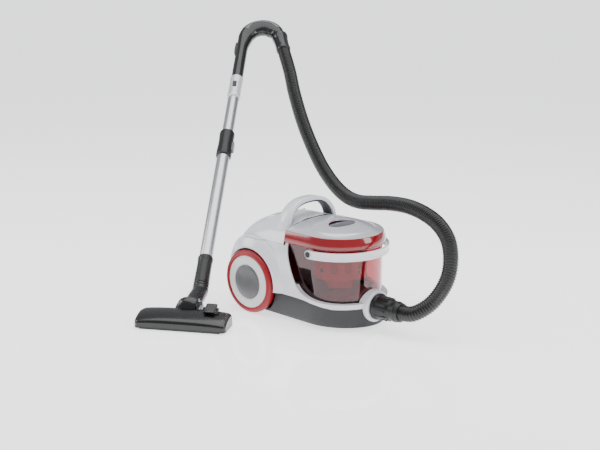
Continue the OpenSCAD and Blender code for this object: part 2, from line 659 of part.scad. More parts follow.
// Section of the head's cover, drawn in by d; y runs backwards from the front edge.
module head_view(d) {
  y = head_front;
  e = head_front + head_dep;
  polygon([[y + d, 6 - 2 * d], [y + d, 22 - d], [y + 5 + d / 2, 27 - d], [y + 22, 32 - d], [y + 50, 37 - d],
    [e - 9, 38 - d], [e - d, 33 - d], [e - d, 6 - 2 * d]]);
}
module head_plan(d) {
  intersection() {
    translate([-head_len / 2 + d, head_front + d]) square([head_len - 2 * d, head_dep - 2 * d]);
    union() {
      translate([-head_len / 2 + 12, head_front - 1]) square([head_len - 24, head_dep + 2]);
      translate([-head_len / 2 - 1, head_front + 12]) square([head_len + 2, head_dep - 24]);
      for (x = [-1, 1], y = [head_front + 12, head_front + head_dep - 12])
        translate([x * (head_len / 2 - 12), y]) circle(12 - d);
    }
  }
}
module head_block(d) {
  intersection() {
    rotate([90, 0, 90]) translate([0, 0, -big / 2]) linear_extrude(big) head_view(d);
    translate([0, 0, -20]) linear_extrude(100) head_plan(d);
  }
}
lug_y = -66;
lug_z = 43;
pedal_mid = 65;
module head_cover() in_head() color([0.16, 0.16, 0.17]) difference() {
  union() {
    difference() {
      head_block(0);
      head_block(2.5);
      translate(ball) rod_x(ball_r + 1, -22.8, 22.8);
    }
    for (s = [0, 1]) mirror([s, 0, 0]) {
      translate(ball) rod_x(15, 23, 31);
      translate(ball) rod_x(4, 16, 31);
      slab(23, 31, head_front + head_dep - 10, ball[1], 15, 37);
    }
    for (x = [pedal_mid - 19, pedal_mid + 15]) {
      slab(x, x + 4, lug_y - 6, lug_y + 6, 32, lug_z);
      translate([0, lug_y, lug_z]) rod_x(6, x, x + 4);
    }
  }
  translate([0, lug_y, lug_z]) rod_x(3 + fit, 0, 200);
}
module sole_plate() in_head() color([0.3, 0.3, 0.32]) {
  difference() {
    translate([0, 0, 3]) linear_extrude(3) head_plan(0);
    slab(-95, 95, head_front + 24, head_front + 40, 0, 10);
    slab(-106, 106, head_front + 13, head_front + 20, 0, 10);
    for (x = [-85, 85]) {
      slab(x - 8.5, x + 8.5, head_front + 58, head_front + 74, 0, 10);
      slab(x - 12, x + 12, head_front + 63.5, head_front + 68.5, 0, 10);
    }
  }
  slab(-100, 100, head_front + 3, head_front + 9, 0, 3.01);
  for (x = [-85, 85], s = [-1, 1]) translate([0, head_front + 66, 0]) difference() {
    slab(x + s * 10 - 1.5, x + s * 10 + 1.5, -4, 4, 5.9, 11);
    translate([0, 0, 6.5]) rod_x(2 + fit, -200, 200);
  }
}
module brush_strip() in_head() color([0.1, 0.1, 0.11]) {
  slab(-104, 104, head_front + 14, head_front + 19, 8, 11);
  for (x = [-102:4:102]) slab(x - 1.4, x + 1.4, head_front + 15, head_front + 18, 4.3, 8.01);
}
module foot_pedal() in_head() color([0.2, 0.2, 0.21]) {
  translate([0, lug_y, lug_z]) {
    rod_x(3, pedal_mid - 19, pedal_mid + 19);
    rotate([20, 0, 0]) slab(pedal_mid - 14, pedal_mid + 14, -19, 17, 1, 4.5);
  }
}
module head_rollers() in_head() color([0.25, 0.25, 0.27]) translate([0, head_front + 66, 6.5])
  for (x = [-85, 85]) { rod_x(6.5, x - 7, x + 7); rod_x(2, x - 11.5, x + 11.5); }

base_pan();
body_shell();
rear_cover();
bulkhead();
bin_deck();
carry_handle();
handle_grip();
wheel_arches();
wheel_axles();
wheel_disc_right();
wheel_disc_left();
tyre_right();
tyre_left();
hub_cap_right();
hub_cap_left();
caster_fork();
caster_wheel();
caster_pin();
inlet_ring();
inlet_duct();
motor_housing();
motor_mounts();
motor_shaft();
fan_impeller();
motor_filter();
exhaust_filter();
exhaust_grille();
reel_drum();
reel_spindle();
cord_outlet();
power_pedal();
rewind_pedal();
pan_screws();
dust_cup();
bail_pins();
bail_handle();
cyclone_shroud();
cyclone_cone();
lid_ring();
lid_dome();
lid_button();
hose_connector();
connector_latch();
suction_hose();
swivel_cuff();
curved_handle();
bleed_slider();
handle_socket();
socket_latch();
inner_tube();
outer_tube();
adjuster_sleeve();
adjuster_button();
neck_tube();
elbow_duct();
head_cover();
sole_plate();
brush_strip();
foot_pedal();
head_rollers();
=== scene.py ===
"""Canister vacuum cleaner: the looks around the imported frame.

Sizes are in millimetres in the canister's own frame (x to the front, y to the left, z up, the rear
axle at x = 0) and put() turns them into the row's metres.
"""
import math

import bpy
import bmesh
from mathutils import Matrix, Vector


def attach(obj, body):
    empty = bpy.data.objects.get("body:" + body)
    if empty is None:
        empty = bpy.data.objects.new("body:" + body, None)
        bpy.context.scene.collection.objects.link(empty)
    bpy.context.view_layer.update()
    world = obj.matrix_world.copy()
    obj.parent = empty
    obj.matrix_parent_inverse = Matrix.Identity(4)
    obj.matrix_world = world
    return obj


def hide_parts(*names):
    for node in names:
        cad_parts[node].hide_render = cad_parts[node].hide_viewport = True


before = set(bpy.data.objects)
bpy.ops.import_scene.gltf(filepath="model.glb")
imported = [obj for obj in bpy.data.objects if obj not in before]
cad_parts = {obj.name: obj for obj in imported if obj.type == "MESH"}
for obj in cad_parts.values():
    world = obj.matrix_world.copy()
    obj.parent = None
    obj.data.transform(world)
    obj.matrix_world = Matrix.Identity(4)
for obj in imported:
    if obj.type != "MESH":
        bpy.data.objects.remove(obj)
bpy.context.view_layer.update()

# ---------------------------------------------------------------- driving sizes
# bottom centre of the whole box
MIDDLE = Vector((-102, 41, 0))
# canister: centre and radius of its round nose; end of the tail, where the sides turn in, and where
# the sections space out; the axle; the wheel wells; the seam under the top cover
NOSE_X, BODY_R = 189, 118
TAIL_X, TURN_X, SIDE_X = -100, -22, 22
AXLE_Z = 80
WELL_R, WELL_Y = 84, 107.2
SEAM_Z = 190
# bin and lid: the lid's straight back edge, its ring's top, its dome's top, its button, the bail's pivot
LID_BACK = 107.5
RING_TOP = 226
LID_TOP = 242
BUTTON_X = 194
PIVOT = (195, 184.5)
# hose: height of the inlet, its hole in the nose, the connector's end and the side its button is on
INLET_Z = 56
MOUTH_R = 35.4
CONNECTOR_END = 388
BUTTON_SIDE = 90
HOSE_D = 38
# wand: its foot on the floor, how steeply it rises, where it heads, and stations up its axis
FOOT = Vector((-70, -245, 0))
RISE = math.radians(37)
HEADING = math.radians(128)
NECK_S, OUTER_S, SLEEVE_S, INNER_S, COLLAR_S, GRIP_S, BEND_S = 74, 182, 532, 622, 757, 839, 1010
# curved handle: radius and degrees of its bend, its air bore, and the swivel beyond it
BEND_R = 54
BEND_A = 163
AIR_R = 14.6
SWIVEL_L = 70
# floor head: its turn from the wand, its section's place and size, and the elbow's pivot
HEAD_YAW = math.radians(-5.5)
HEAD_FRONT, HEAD_DEP, HEAD_LEN = -122, 80, 228
BALL = Vector((0, -25, 30))
BALL_R = 26
# camera: where it stands, which way it looks and its lens
EYE = (2095.14, -2086.11, 944)
LOOK = Vector((-0.6786, 0.6929, -0.2436))
LENS = 72

HOSE_ROUTE = [(420, 4, 61), (450, 22, 84), (466, 44, 115), (470, 66, 150), (460, 86, 190), (436, 104, 225),
              (395, 118, 252), (340, 132, 267), (280, 144, 272), (215, 155, 267), (150, 166, 256),
              (85, 183, 246), (25, 202, 248), (-40, 226, 265), (-110, 254, 298), (-180, 285, 345),
              (-250, 318, 404), (-320, 357, 471), (-376, 395, 524)]


# ---------------------------------------------------------------- frames
def put(p):
    """A point of the canister's frame, in metres in the row's frame."""
    return (Vector(p) - MIDDLE) / 1000


WAND = (Matrix.Translation(FOOT) @ Matrix.Rotation(HEADING, 4, "Z")
        @ Matrix.Rotation(math.pi / 2 - RISE, 4, "Y"))
KNEE = Vector((0, NECK_S * math.cos(RISE), NECK_S * math.sin(RISE)))
KNEE_Y = Matrix.Translation((0, KNEE.y, 0))
HEAD = (Matrix.Translation(FOOT) @ Matrix.Rotation(HEADING - math.pi / 2, 4, "Z") @ KNEE_Y
        @ Matrix.Rotation(HEAD_YAW, 4, "Z") @ KNEE_Y.inverted())
CUFF = (WAND @ Matrix.Translation((0, -BEND_R - BEND_R * math.cos(math.radians(180 - BEND_A)),
                                   BEND_S + BEND_R * math.sin(math.radians(180 - BEND_A))))
        @ Matrix.Rotation(math.radians(BEND_A), 4, "X"))
HERE = Matrix.Identity(4)


def axis_frame(origin, along):
    """A frame whose z runs along a direction, for lathed pieces."""
    turn = Vector(along).to_track_quat("Z", "Y").to_matrix().to_4x4()
    return Matrix.Translation(origin) @ turn


def axle_frame(side):
    """On the rear axle, z outwards to the left (1) or the right (-1)."""
    return axis_frame((0, 0, AXLE_Z), (0, side, 0))


def pivot_frame(side):
    """On the bail's pivot, z outwards to one side."""
    return axis_frame((PIVOT[0], 0, PIVOT[1]), (0, side, 0))


def knee_frame(side):
    """On the elbow's pivot in the floor head, z outwards to one side."""
    return HEAD @ axis_frame(BALL, (side, 0, 0))


INLET = axis_frame((0, 0, INLET_Z), (1, 0, 0))
# a prism's outline stands upright, with its third direction across the canister
SIDEWAYS = Matrix(((1, 0, 0, 0), (0, 0, -1, 0), (0, 1, 0, 0), (0, 0, 0, 1)))
# a plate lies along the wand, with its top facing away from the bend
OUTWARDS = Matrix(((1, 0, 0, 0), (0, 0, 1, 0), (0, 1, 0, 0), (0, 0, 0, 1)))


# ---------------------------------------------------------------- materials
def linear(code):
    """An sRGB hex colour as linear values with alpha."""
    parts = [int(code[i:i + 2], 16) / 255 for i in (1, 3, 5)]
    return [c / 12.92 if c <= 0.04045 else ((c + 0.055) / 1.055) ** 2.4 for c in parts] + [1]


def node(tree, kind, settings=None, **inputs):
    """Adds a node. settings are its own properties; inputs are values or the sockets to link."""
    made = tree.nodes.new(kind)
    for name, value in (settings or {}).items():
        setattr(made, name, value)
    for name, value in inputs.items():
        socket = made.inputs[int(name[1:])] if name[0] == "i" and name[1:].isdigit() else made.inputs[
            name.replace("_", " ")]
        if isinstance(value, bpy.types.NodeSocket):
            tree.links.new(value, socket)
        else:
            socket.default_value = value
    return made


def shader(name, **values):
    """A new material with one Principled shader; values are its sockets, with _ for a space."""
    made = bpy.data.materials.new(name)
    made.use_nodes = True
    tree = made.node_tree
    tree.nodes.clear()
    surface = node(tree, "ShaderNodeBsdfPrincipled", None, **values)
    node(tree, "ShaderNodeOutputMaterial", None, Surface=surface.outputs[0])
    return made, tree, surface


def shades(tree, factor, stops):
    """A colour ramp over a factor; stops are (place, hex)."""
    ramp = node(tree, "ShaderNodeValToRGB", None, Fac=factor)
    band = ramp.color_ramp.elements
    while len(band) < len(stops):
        band.new(0.5)
    for element, (place, code) in zip(band, stops):
        element.position = place
        element.color = linear(code)
    return ramp.outputs[0]


def tint(tree, surface, factor, low, high, start=0.3, end=0.7):
    """Lets the colour drift between two shades with a texture."""
    tree.links.new(shades(tree, factor, [(start, low), (end, high)]), surface.inputs["Base Color"])


def noise(tree, size_mm, detail=2.0):
    """Noise whose lumps are about size_mm across, on Object coordinates."""
    place = node(tree, "ShaderNodeTexCoord").outputs["Object"]
    return node(tree, "ShaderNodeTexNoise", None, Vector=place, Scale=1000 / size_mm,
                Detail=detail).outputs[0]


def bump(tree, surface, height, depth_mm):
    """Raises and lowers the surface with a texture, by depth_mm in all."""
    made = node(tree, "ShaderNodeBump", None, Height=height, Distance=depth_mm / 1000)
    tree.links.new(made.outputs[0], surface.inputs["Normal"])


def roughness(tree, surface, factor, low, high):
    """Lets the roughness drift between two values with a texture."""
    made = node(tree, "ShaderNodeMapRange", None, Value=factor, To_Min=low, To_Max=high)
    tree.links.new(made.outputs[0], surface.inputs["Roughness"])


def moulded(name, base, shade, rough, grain_mm, depth_mm, coat=0.0, spread=0.08):
    """An injection moulded plastic: a base colour that drifts slightly, and a fine tool texture."""
    made, tree, surface = shader(name, Roughness=rough, IOR=1.5, Coat_Weight=coat, Coat_Roughness=0.06)
    tint(tree, surface, noise(tree, 60, 2), base, shade)
    grain = noise(tree, grain_mm, 3)
    roughness(tree, surface, grain, max(rough - spread, 0.02), rough + spread)
    bump(tree, surface, grain, depth_mm)
    return made


# Pearl white ABS, high gloss moulded: a cold white with a clear wet highlight and faint orange peel.
PEARL = moulded("pearl_white_abs", "#e9e9ee", "#e2e2e8", 0.2, 9, 0.010, coat=0.5, spread=0.04)


def silver_lacquer():
    """White ABS under silver pearl lacquer: a lilac grey sheen that darkens away from the light."""
    made, tree, surface = shader("silver_lacquer", Metallic=0.35, Roughness=0.26, Coat_Weight=0.7,
                                 Coat_Roughness=0.05)
    flake = noise(tree, 0.6, 1)
    tint(tree, surface, flake, "#c9c9d2", "#dedee4", 0.35, 0.65)
    roughness(tree, surface, flake, 0.2, 0.34)
    return made


# Red ABS, high gloss: deep signal red under a clear reflection.
RED = moulded("gloss_red_abs", "#8c0410", "#80030e", 0.14, 8, 0.008, coat=0.8, spread=0.03)
# Red thermoplastic rubber tread: softer, satin, a little dusty.
TREAD = moulded("satin_red_rubber", "#9c0d1d", "#900b1a", 0.42, 1.2, 0.03, spread=0.1)
# White wheel disc: satin polypropylene.
DISC = moulded("white_polypropylene", "#e6e6e8", "#dededf", 0.34, 2.5, 0.015, spread=0.06)
# Dark grey base pan: spark eroded ABS, an even dull grain.
PAN = moulded("dark_grey_abs", "#26272a", "#222326", 0.46, 0.9, 0.03, spread=0.1)
# Black polypropylene fittings, fine grain.
BLACK = moulded("black_polypropylene", "#0e0e0f", "#0a0a0b", 0.36, 0.9, 0.02, spread=0.08)
# Black gloss ABS of the floor head and swivel, a clear highlight on near black.
GLOSS = moulded("black_gloss_abs", "#0d0d0e", "#09090a", 0.26, 6, 0.008, coat=0.25, spread=0.05)
# Dark silver lacquer on the curved grip's top shell.
GRIP_SHELL = moulded("graphite_lacquer", "#4e4f54", "#44454a", 0.24, 0.8, 0.004, coat=0.6, spread=0.06)
# Soft grey rubber of the carrying grip's inner face.
SOFT = moulded("soft_grey_rubber", "#3f4044", "#38393d", 0.55, 1.1, 0.03, spread=0.08)
# Corrugated polyethylene hose: black, satin, slightly waxy.
HOSE = moulded("black_polyethylene_hose", "#0b0b0c", "#070708", 0.3, 2.5, 0.02, spread=0.08)
# The lid's button: plum grey gloss plastic.
PLUM = moulded("plum_gloss_plastic", "#4b4250", "#433a47", 0.16, 6, 0.006, coat=0.8, spread=0.03)
# Mid grey fittings and latches.
GREY = moulded("mid_grey_abs", "#67686b", "#5e5f62", 0.4, 1.0, 0.02, spread=0.08)


def hub_grey():
    """Grey hub cap, moulded in a lathe-turned tool: very fine rings that catch the light."""
    made, tree, surface = shader("turned_grey_hub", Roughness=0.4, Coat_Weight=0.15)
    tint(tree, surface, noise(tree, 40, 2), "#646466", "#5d5d5f")
    centre = put((0, 0, AXLE_Z))
    place = node(tree, "ShaderNodeTexCoord").outputs["Object"]
    moved = node(tree, "ShaderNodeMapping", None, Vector=place, Location=(-centre.x, 0, -centre.z),
                 Scale=(1, 0, 1))
    rings = node(tree, "ShaderNodeTexWave", {"wave_type": "RINGS", "rings_direction": "SPHERICAL"},
                 Vector=moved.outputs[0], Scale=1000 / (2 * math.pi * 1.2) * 2, Distortion=0.2)
    bump(tree, surface, rings.outputs[1], 0.02)
    roughness(tree, surface, rings.outputs[1], 0.34, 0.46)
    return made


def anodised():
    """Anodised aluminium tube, drawn and satin polished: fine lines along the tube."""
    made, tree, surface = shader("anodised_aluminium", Metallic=1.0, Roughness=0.3)
    along = (WAND.to_3x3() @ Vector((0, 0, 1))).to_track_quat("Z", "Y").to_euler()
    place = node(tree, "ShaderNodeTexCoord").outputs["Object"]
    turned = node(tree, "ShaderNodeMapping", {"vector_type": "TEXTURE"}, Vector=place, Rotation=along)
    drawn = node(tree, "ShaderNodeMapping", None, Vector=turned.outputs[0], Scale=(1, 1, 0.02))
    lines = node(tree, "ShaderNodeTexNoise", None, Vector=drawn.outputs[0], Scale=1000 / 0.8,
                 Detail=2.0).outputs[0]
    tint(tree, surface, lines, "#c2c3c6", "#d6d7d9")
    roughness(tree, surface, lines, 0.22, 0.36)
    bump(tree, surface, lines, 0.006)
    return made


def clear_cup():
    """Clear polycarbonate with a light smoke tint; finger marks soften its gloss here and there."""
    made, tree, surface = shader("smoke_polycarbonate", Roughness=0.03, IOR=1.58, Transmission_Weight=1.0)
    smear = noise(tree, 35, 3)
    tint(tree, surface, smear, "#cc747e", "#c26a75")
    roughness(tree, surface, smear, 0.01, 0.06)
    return made


def red_clear_painted_glow():
    """Transparent red styrene of the cyclone, lit through: deep in the walls, bright at the edges. The light
    through it is painted: an even red emission makes it glow though it is no lamp.
    """
    # painted glow: the red emission stands in for light shining through the walls
    made, tree, surface = shader("transparent_red_styrene", Roughness=0.18, IOR=1.5, Transmission_Weight=0.12,
                                 Emission_Color=linear("#b0001a"), Emission_Strength=0.22)
    tone = noise(tree, 30, 2)
    tint(tree, surface, tone, "#c40218", "#a80014")
    roughness(tree, surface, tone, 0.08, 0.2)
    return made


def metal(name, low, high, rough, grain_mm=1.0):
    """A bare metal with fine machining marks."""
    made, tree, surface = shader(name, Metallic=1.0, Roughness=rough)
    marks = noise(tree, grain_mm, 2)
    tint(tree, surface, marks, low, high)
    roughness(tree, surface, marks, rough - 0.08, rough + 0.08)
    return made


def fibre(name, low, high, cell_mm, depth_mm):
    """Foam or filter fleece: open cells, drawn larger than the real ones so that they show; each cell is
    painted darker in its hollow, a painted shade in the pits.
    """
    made, tree, surface = shader(name, Roughness=0.9, Sheen_Weight=0.3)
    place = node(tree, "ShaderNodeTexCoord").outputs["Object"]
    cells = node(tree, "ShaderNodeTexVoronoi", None, Vector=place, Scale=1000 / cell_mm).outputs[0]
    # painted shade: the colour darkens towards each cell's middle, where the bump sinks it
    tint(tree, surface, cells, low, high, 0.1, 0.8)
    bump(tree, surface, cells, depth_mm)
    return made


LACQUER = silver_lacquer()
HUB = hub_grey()
TUBE = anodised()
CUP = clear_cup()
CYCLONE = red_clear_painted_glow()
# Turned and ground steel of axles, pins and screws: bright, satin.
STEEL = metal("turned_steel", "#a8a8a8", "#c4c4c4", 0.28)
# Pressed, zinc plated sheet steel of the motor's can: duller, with a faint spangle.
ZINC = metal("zinc_plated_can", "#8d9092", "#a5a8aa", 0.38, grain_mm=4)
# Open cell polyurethane foam, near black and quite matt.
FOAM = fibre("open_foam", "#141415", "#2c2c2e", 1.5, 0.4)
# Pleatable polyester filter fleece, off white and matt.
FLEECE = fibre("filter_fleece", "#cfcfc8", "#e9e9e4", 1.2, 0.2)
# Black nylon bristle, satin.
BRISTLE = moulded("black_nylon", "#19191a", "#101011", 0.5, 0.8, 0.01, spread=0.05)
# Dark grey ABS of inner parts and small buttons, an even fine grain.
DARK = moulded("shadow_grey_abs", "#2b2c2e", "#252628", 0.42, 0.9, 0.02, spread=0.08)


# ---------------------------------------------------------------- mesh tools
def placed(name, data):
    """A new object in the scene."""
    made = bpy.data.objects.new(name, data)
    bpy.context.scene.collection.objects.link(made)
    return made


def piece(name, points, faces, material, body, slot, at=HERE, smooth=32, bevel=0.0, replaces=()):
    """Makes a closed mesh from points in millimetres, rides it on its body and gives it a finish."""
    mesh = bpy.data.meshes.new(name)
    mesh.from_pydata([put(at @ Vector(p)) for p in points], [], faces)
    made = placed(name, mesh)
    tidy(made)
    dress(made, material, body, smooth, bevel, replaces)
    return made


def tidy(made, merge=2e-6, sliver=1e-7):
    """Merges doubles, takes out slivers and turns every face outwards."""
    work = bmesh.new()
    work.from_mesh(made.data)
    bmesh.ops.remove_doubles(work, verts=work.verts, dist=merge)
    if sliver:
        bmesh.ops.dissolve_degenerate(work, edges=work.edges, dist=sliver)
    bmesh.ops.recalc_face_normals(work, faces=work.faces)
    work.to_mesh(made.data)
    work.free()


def dress(made, material, body, smooth=32, bevel=0.0, replaces=()):
    """Gives a mesh its material, its smoothing, a bevel in millimetres and its body, and hides the CAD nodes
    it replaces.
    """
    made.data.materials.clear()
    made.data.materials.append(material)
    for polygon in made.data.polygons:
        polygon.use_smooth = True
    made.data.set_sharp_from_angle(angle=math.radians(smooth))
    if bevel:
        edge = made.modifiers.new("edge", "BEVEL")
        edge.width = bevel / 1000
        edge.segments = 2
        edge.limit_method = "ANGLE"
        edge.angle_limit = math.radians(35)
        edge.harden_normals = False
        made.data.set_sharp_from_angle(angle=math.radians(80))
        weigh = made.modifiers.new("weigh", "WEIGHTED_NORMAL")
        weigh.keep_sharp = True
    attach(made, body)
    if replaces:
        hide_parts(*replaces)


def raw(points, faces, at=HERE):
    """A closed mesh used only as a tool or as a stage of a piece, in millimetres."""
    mesh = bpy.data.meshes.new("tool")
    mesh.from_pydata([at @ Vector(p) for p in points], [], faces)
    made = placed("tool", mesh)
    tidy(made, merge=1e-3, sliver=0)
    return made


def combine(base, tool, how):
    """Joins, cuts or intersects two closed meshes and leaves the result in base."""
    step = base.modifiers.new("step", "BOOLEAN")
    step.operation = how
    step.object = tool
    step.solver = "EXACT"
    result = bpy.data.meshes.new_from_object(base.evaluated_get(bpy.context.evaluated_depsgraph_get()))
    base.modifiers.clear()
    base.data = result
    bpy.data.objects.remove(tool)
    return base


def cut(base, *tools):
    """Takes each tool out of a closed mesh, one after the other."""
    for tool in tools:
        combine(base, tool, "DIFFERENCE")
    return base


def copy_of(made):
    """A second stage with the same mesh."""
    return placed("tool", made.data.copy())


def settle(made, name, material, body, smooth=32, bevel=0.0, replaces=()):
    """Turns a millimetre mesh into a finished piece in the row's metres."""
    for vertex in made.data.vertices:
        vertex.co = put(vertex.co)
    made.name = name
    made.data.name = name
    tidy(made)
    dress(made, material, body, smooth, bevel, replaces)
    return made


def ring_faces(count, rows, first=0, closed_rows=False):
    """Quads between rows of count points each, joined round."""
    faces = []
    for row in range(rows if closed_rows else rows - 1):
        a, b = first + row * count, first + (row + 1) % rows * count
        for i in range(count):
            j = (i + 1) % count
            faces.append((a + i, a + j, b + j, b + i))
    return faces


def tube_of(rings):
    """Points and faces of a closed solid through rings of equal count, with end caps."""
    count = len(rings[0])
    points = [p for ring in rings for p in ring]
    faces = ring_faces(count, len(rings))
    faces.append(tuple(range(count - 1, -1, -1)))
    faces.append(tuple(len(points) - count + i for i in range(count)))
    return points, faces


def rounded(profile, radius, steps=4):
    """Rounds a closed outline's corners; radius is one size for all, or a list with one for each."""
    out = []
    count = len(profile)
    for i, corner in enumerate(profile):
        r = radius[i] if isinstance(radius, (list, tuple)) else radius
        here = Vector(corner)
        back, ahead = Vector(profile[i - 1]) - here, Vector(profile[(i + 1) % count]) - here
        reach = min(r, back.length * 0.48, ahead.length * 0.48)
        if reach < 0.05:
            out.append(tuple(here))
            continue
        a, b = here + back.normalized() * reach, here + ahead.normalized() * reach
        for k in range(steps + 1):
            t = k / steps
            out.append(tuple((1 - t) ** 2 * a + 2 * t * (1 - t) * here + t * t * b))
    return out


def lathed(profile, radius, sides):
    """Points and faces of a closed (r, z) outline turned about z, its corners rounded by radius."""
    outline = rounded(profile, radius) if radius else profile
    points = []
    for k in range(sides):
        a = math.radians(360 * k / sides)
        points += [(max(r, 0) * math.cos(a), max(r, 0) * math.sin(a), z) for r, z in outline]
    return points, ring_faces(len(outline), sides, closed_rows=True)


def spun(profile, radius, sides, at=HERE):
    """A turned outline as a tool or a stage of a piece."""
    return raw(*lathed(profile, radius, sides), at)


def rod(radius, low, high, sides, at=HERE):
    """A plain cylinder along z."""
    return spun([(0, low), (radius, low), (radius, high), (0, high)], 0, sides, at)


def turned(name, profile, material, body, slot, at, radius, sides=96, replaces=()):
    """A finished piece that is all one turned outline."""
    points, faces = lathed(profile, radius, sides)
    return piece(name, points, faces, material, body, slot, at, replaces=replaces)


def block(x0, x1, y0, y1, z0, z1, at=HERE):
    """A plain box, as a tool or a stage of a piece."""
    points = [(x, y, z) for x in (x0, x1) for y in (y0, y1) for z in (z0, z1)]
    faces = [(0, 1, 3, 2), (4, 6, 7, 5), (0, 4, 5, 1), (2, 3, 7, 6), (0, 2, 6, 4), (1, 5, 7, 3)]
    return raw(points, faces, at)


def prism(outline, low, high, at=HERE):
    """A closed outline of (x, y), drawn out along z from low to high."""
    return raw(*tube_of([[(x, y, z) for x, y in outline] for z in (low, high)]), at)


def guided_line(pts, per):
    """A Catmull-Rom curve through the points; the first and the last one only aim its ends."""
    line = []
    for a, b, c, d in zip(pts, pts[1:], pts[2:], pts[3:]):
        for k in range(per):
            u = k / per
            line.append(0.5 * (2 * b + (c - a) * u + (2 * a - 5 * b + 4 * c - d) * u * u
                               + (3 * b - a - 3 * c + d) * u ** 3))
    return line + [pts[-2]]


def smooth_line(knots):
    """A Catmull-Rom curve through all the knots, as Vectors."""
    pts = [Vector(k) for k in knots]
    return guided_line([2 * pts[0] - pts[1]] + pts + [2 * pts[-1] - pts[-2]], 8)


def soft_step(t):
    """Rises smoothly from 0 at t = 0 to 1 at t = 1."""
    t = min(max(t, 0), 1)
    return t * t * (3 - 2 * t)


# ---------------------------------------------------------------- camera, floor and light
def softbox(name, place, aim, wide, high, power):
    """A soft rectangular lamp; its places and sizes are metres in the row's frame."""
    lamp = bpy.data.lights.new(name, "AREA")
    lamp.shape = "RECTANGLE"
    lamp.size, lamp.size_y, lamp.energy = wide, high, power
    made = placed(name, lamp)
    made.location = place
    made.rotation_euler = (Vector(aim) - Vector(place)).to_track_quat("-Z", "Y").to_euler()


def stage():
    """The camera, the pale floor, the white surroundings and three soft lamps."""
    scene = bpy.context.scene
    view = bpy.data.cameras.new("camera")
    view.sensor_width = 36
    view.lens = LENS
    view.clip_end = 50
    eye = placed("camera", view)
    eye.location = put(EYE)
    eye.rotation_euler = LOOK.to_track_quat("-Z", "Y").to_euler()
    scene.camera = eye

    gloss = shader("pale_floor", Base_Color=linear("#fdfdfd"), Roughness=0.07, IOR=1.5,
                   Emission_Color=(1, 1, 1, 1), Emission_Strength=1.4)[0]
    half, sunk = 60, 0.0006
    floor = bpy.data.meshes.new("floor")
    floor.from_pydata([(-half, -half, 0), (half, -half, 0), (half, half, 0), (-half, half, 0)], [],
                      [(0, 1, 2, 3)])
    floor.materials.append(gloss)
    ground = placed("floor", floor)
    ground.location.z = -sunk

    world = bpy.data.worlds.new("studio")
    scene.world = world
    world.use_nodes = True
    tree = world.node_tree
    tree.nodes.clear()
    seen = node(tree, "ShaderNodeLightPath").outputs["Is Camera Ray"]
    white = node(tree, "ShaderNodeBackground", None, Color=(1, 1, 1, 1), Strength=6.0)
    fill = node(tree, "ShaderNodeBackground", None, Color=(0.93, 0.95, 1, 1), Strength=0.5)
    both = node(tree, "ShaderNodeMixShader", None, Fac=seen, i1=fill.outputs[0], i2=white.outputs[0])
    node(tree, "ShaderNodeOutputWorld", None, Surface=both.outputs[0])

    softbox("overhead", (0.1, 0.1, 2.4), (0.1, 0, 0), 2.6, 2.6, 55)
    softbox("left_bank", (-1.9, -1.6, 1.5), (0, 0, 0.2), 1.0, 1.6, 30)
    softbox("right_bank", (2.1, 0.9, 1.3), (0.1, 0, 0.2), 0.8, 1.6, 26)


stage()


# ---------------------------------------------------------------- hose
def mesh_tree(name, sockets):
    """A new Geometry Nodes tree with these inputs after its geometry, and the input node's outputs."""
    tree = bpy.data.node_groups.new(name, "GeometryNodeTree")
    tree.interface.new_socket("Geometry", in_out="OUTPUT", socket_type="NodeSocketGeometry")
    for socket, kind in (("Geometry", "NodeSocketGeometry"), *sockets):
        tree.interface.new_socket(socket, in_out="INPUT", socket_type=kind)
    return tree, node(tree, "NodeGroupInput").outputs


def finish_tree(tree, shape, material):
    """Makes the shape real, gives it a material and hands it out of the tree."""
    real = node(tree, "GeometryNodeRealizeInstances", None, Geometry=shape)
    done = node(tree, "GeometryNodeSetMaterial", None, Geometry=real.outputs[0], Material=material)
    node(tree, "NodeGroupOutput", None, Geometry=done.outputs[0])


def ribbed_tree():
    """Geometry Nodes: sweeps a circle along the route, swelling it into ribs one pitch apart."""
    tree, source = mesh_tree("ribbed_hose", (
        ("Radius", "NodeSocketFloat"), ("Rib Depth", "NodeSocketFloat"), ("Pitch", "NodeSocketFloat"),
        ("Sides", "NodeSocketInt"), ("Finish", "NodeSocketMaterial")))
    step = node(tree, "ShaderNodeMath", {"operation": "DIVIDE"}, i0=source["Pitch"], i1=6.0)
    line = node(tree, "GeometryNodeResampleCurve", {"mode": "LENGTH"}, Curve=source["Geometry"],
                Length=step.outputs[0])
    run = node(tree, "GeometryNodeSplineParameter").outputs["Length"]
    phase = node(tree, "ShaderNodeMath", {"operation": "DIVIDE"}, i0=run, i1=source["Pitch"])
    angle = node(tree, "ShaderNodeMath", {"operation": "MULTIPLY"}, i0=phase.outputs[0], i1=2 * math.pi)
    wave = node(tree, "ShaderNodeMath", {"operation": "COSINE"}, i0=angle.outputs[0])
    half = node(tree, "ShaderNodeMath", {"operation": "MULTIPLY_ADD"}, i0=wave.outputs[0], i1=0.5, i2=-0.5)
    swell = node(tree, "ShaderNodeMath", {"operation": "MULTIPLY_ADD"}, i0=half.outputs[0],
                 i1=source["Rib Depth"], i2=source["Radius"])
    ring = node(tree, "GeometryNodeCurvePrimitiveCircle", None, Resolution=source["Sides"], Radius=1.0)
    sized = node(tree, "GeometryNodeSetCurveRadius", None, Curve=line.outputs[0], Radius=swell.outputs[0])
    skin = node(tree, "GeometryNodeCurveToMesh", None, Curve=sized.outputs[0], Profile_Curve=ring.outputs[0],
                Fill_Caps=True)
    if "Scale" in skin.inputs:
        tree.links.new(swell.outputs[0], skin.inputs["Scale"])
    finish_tree(tree, skin.outputs[0], source["Finish"])
    return tree


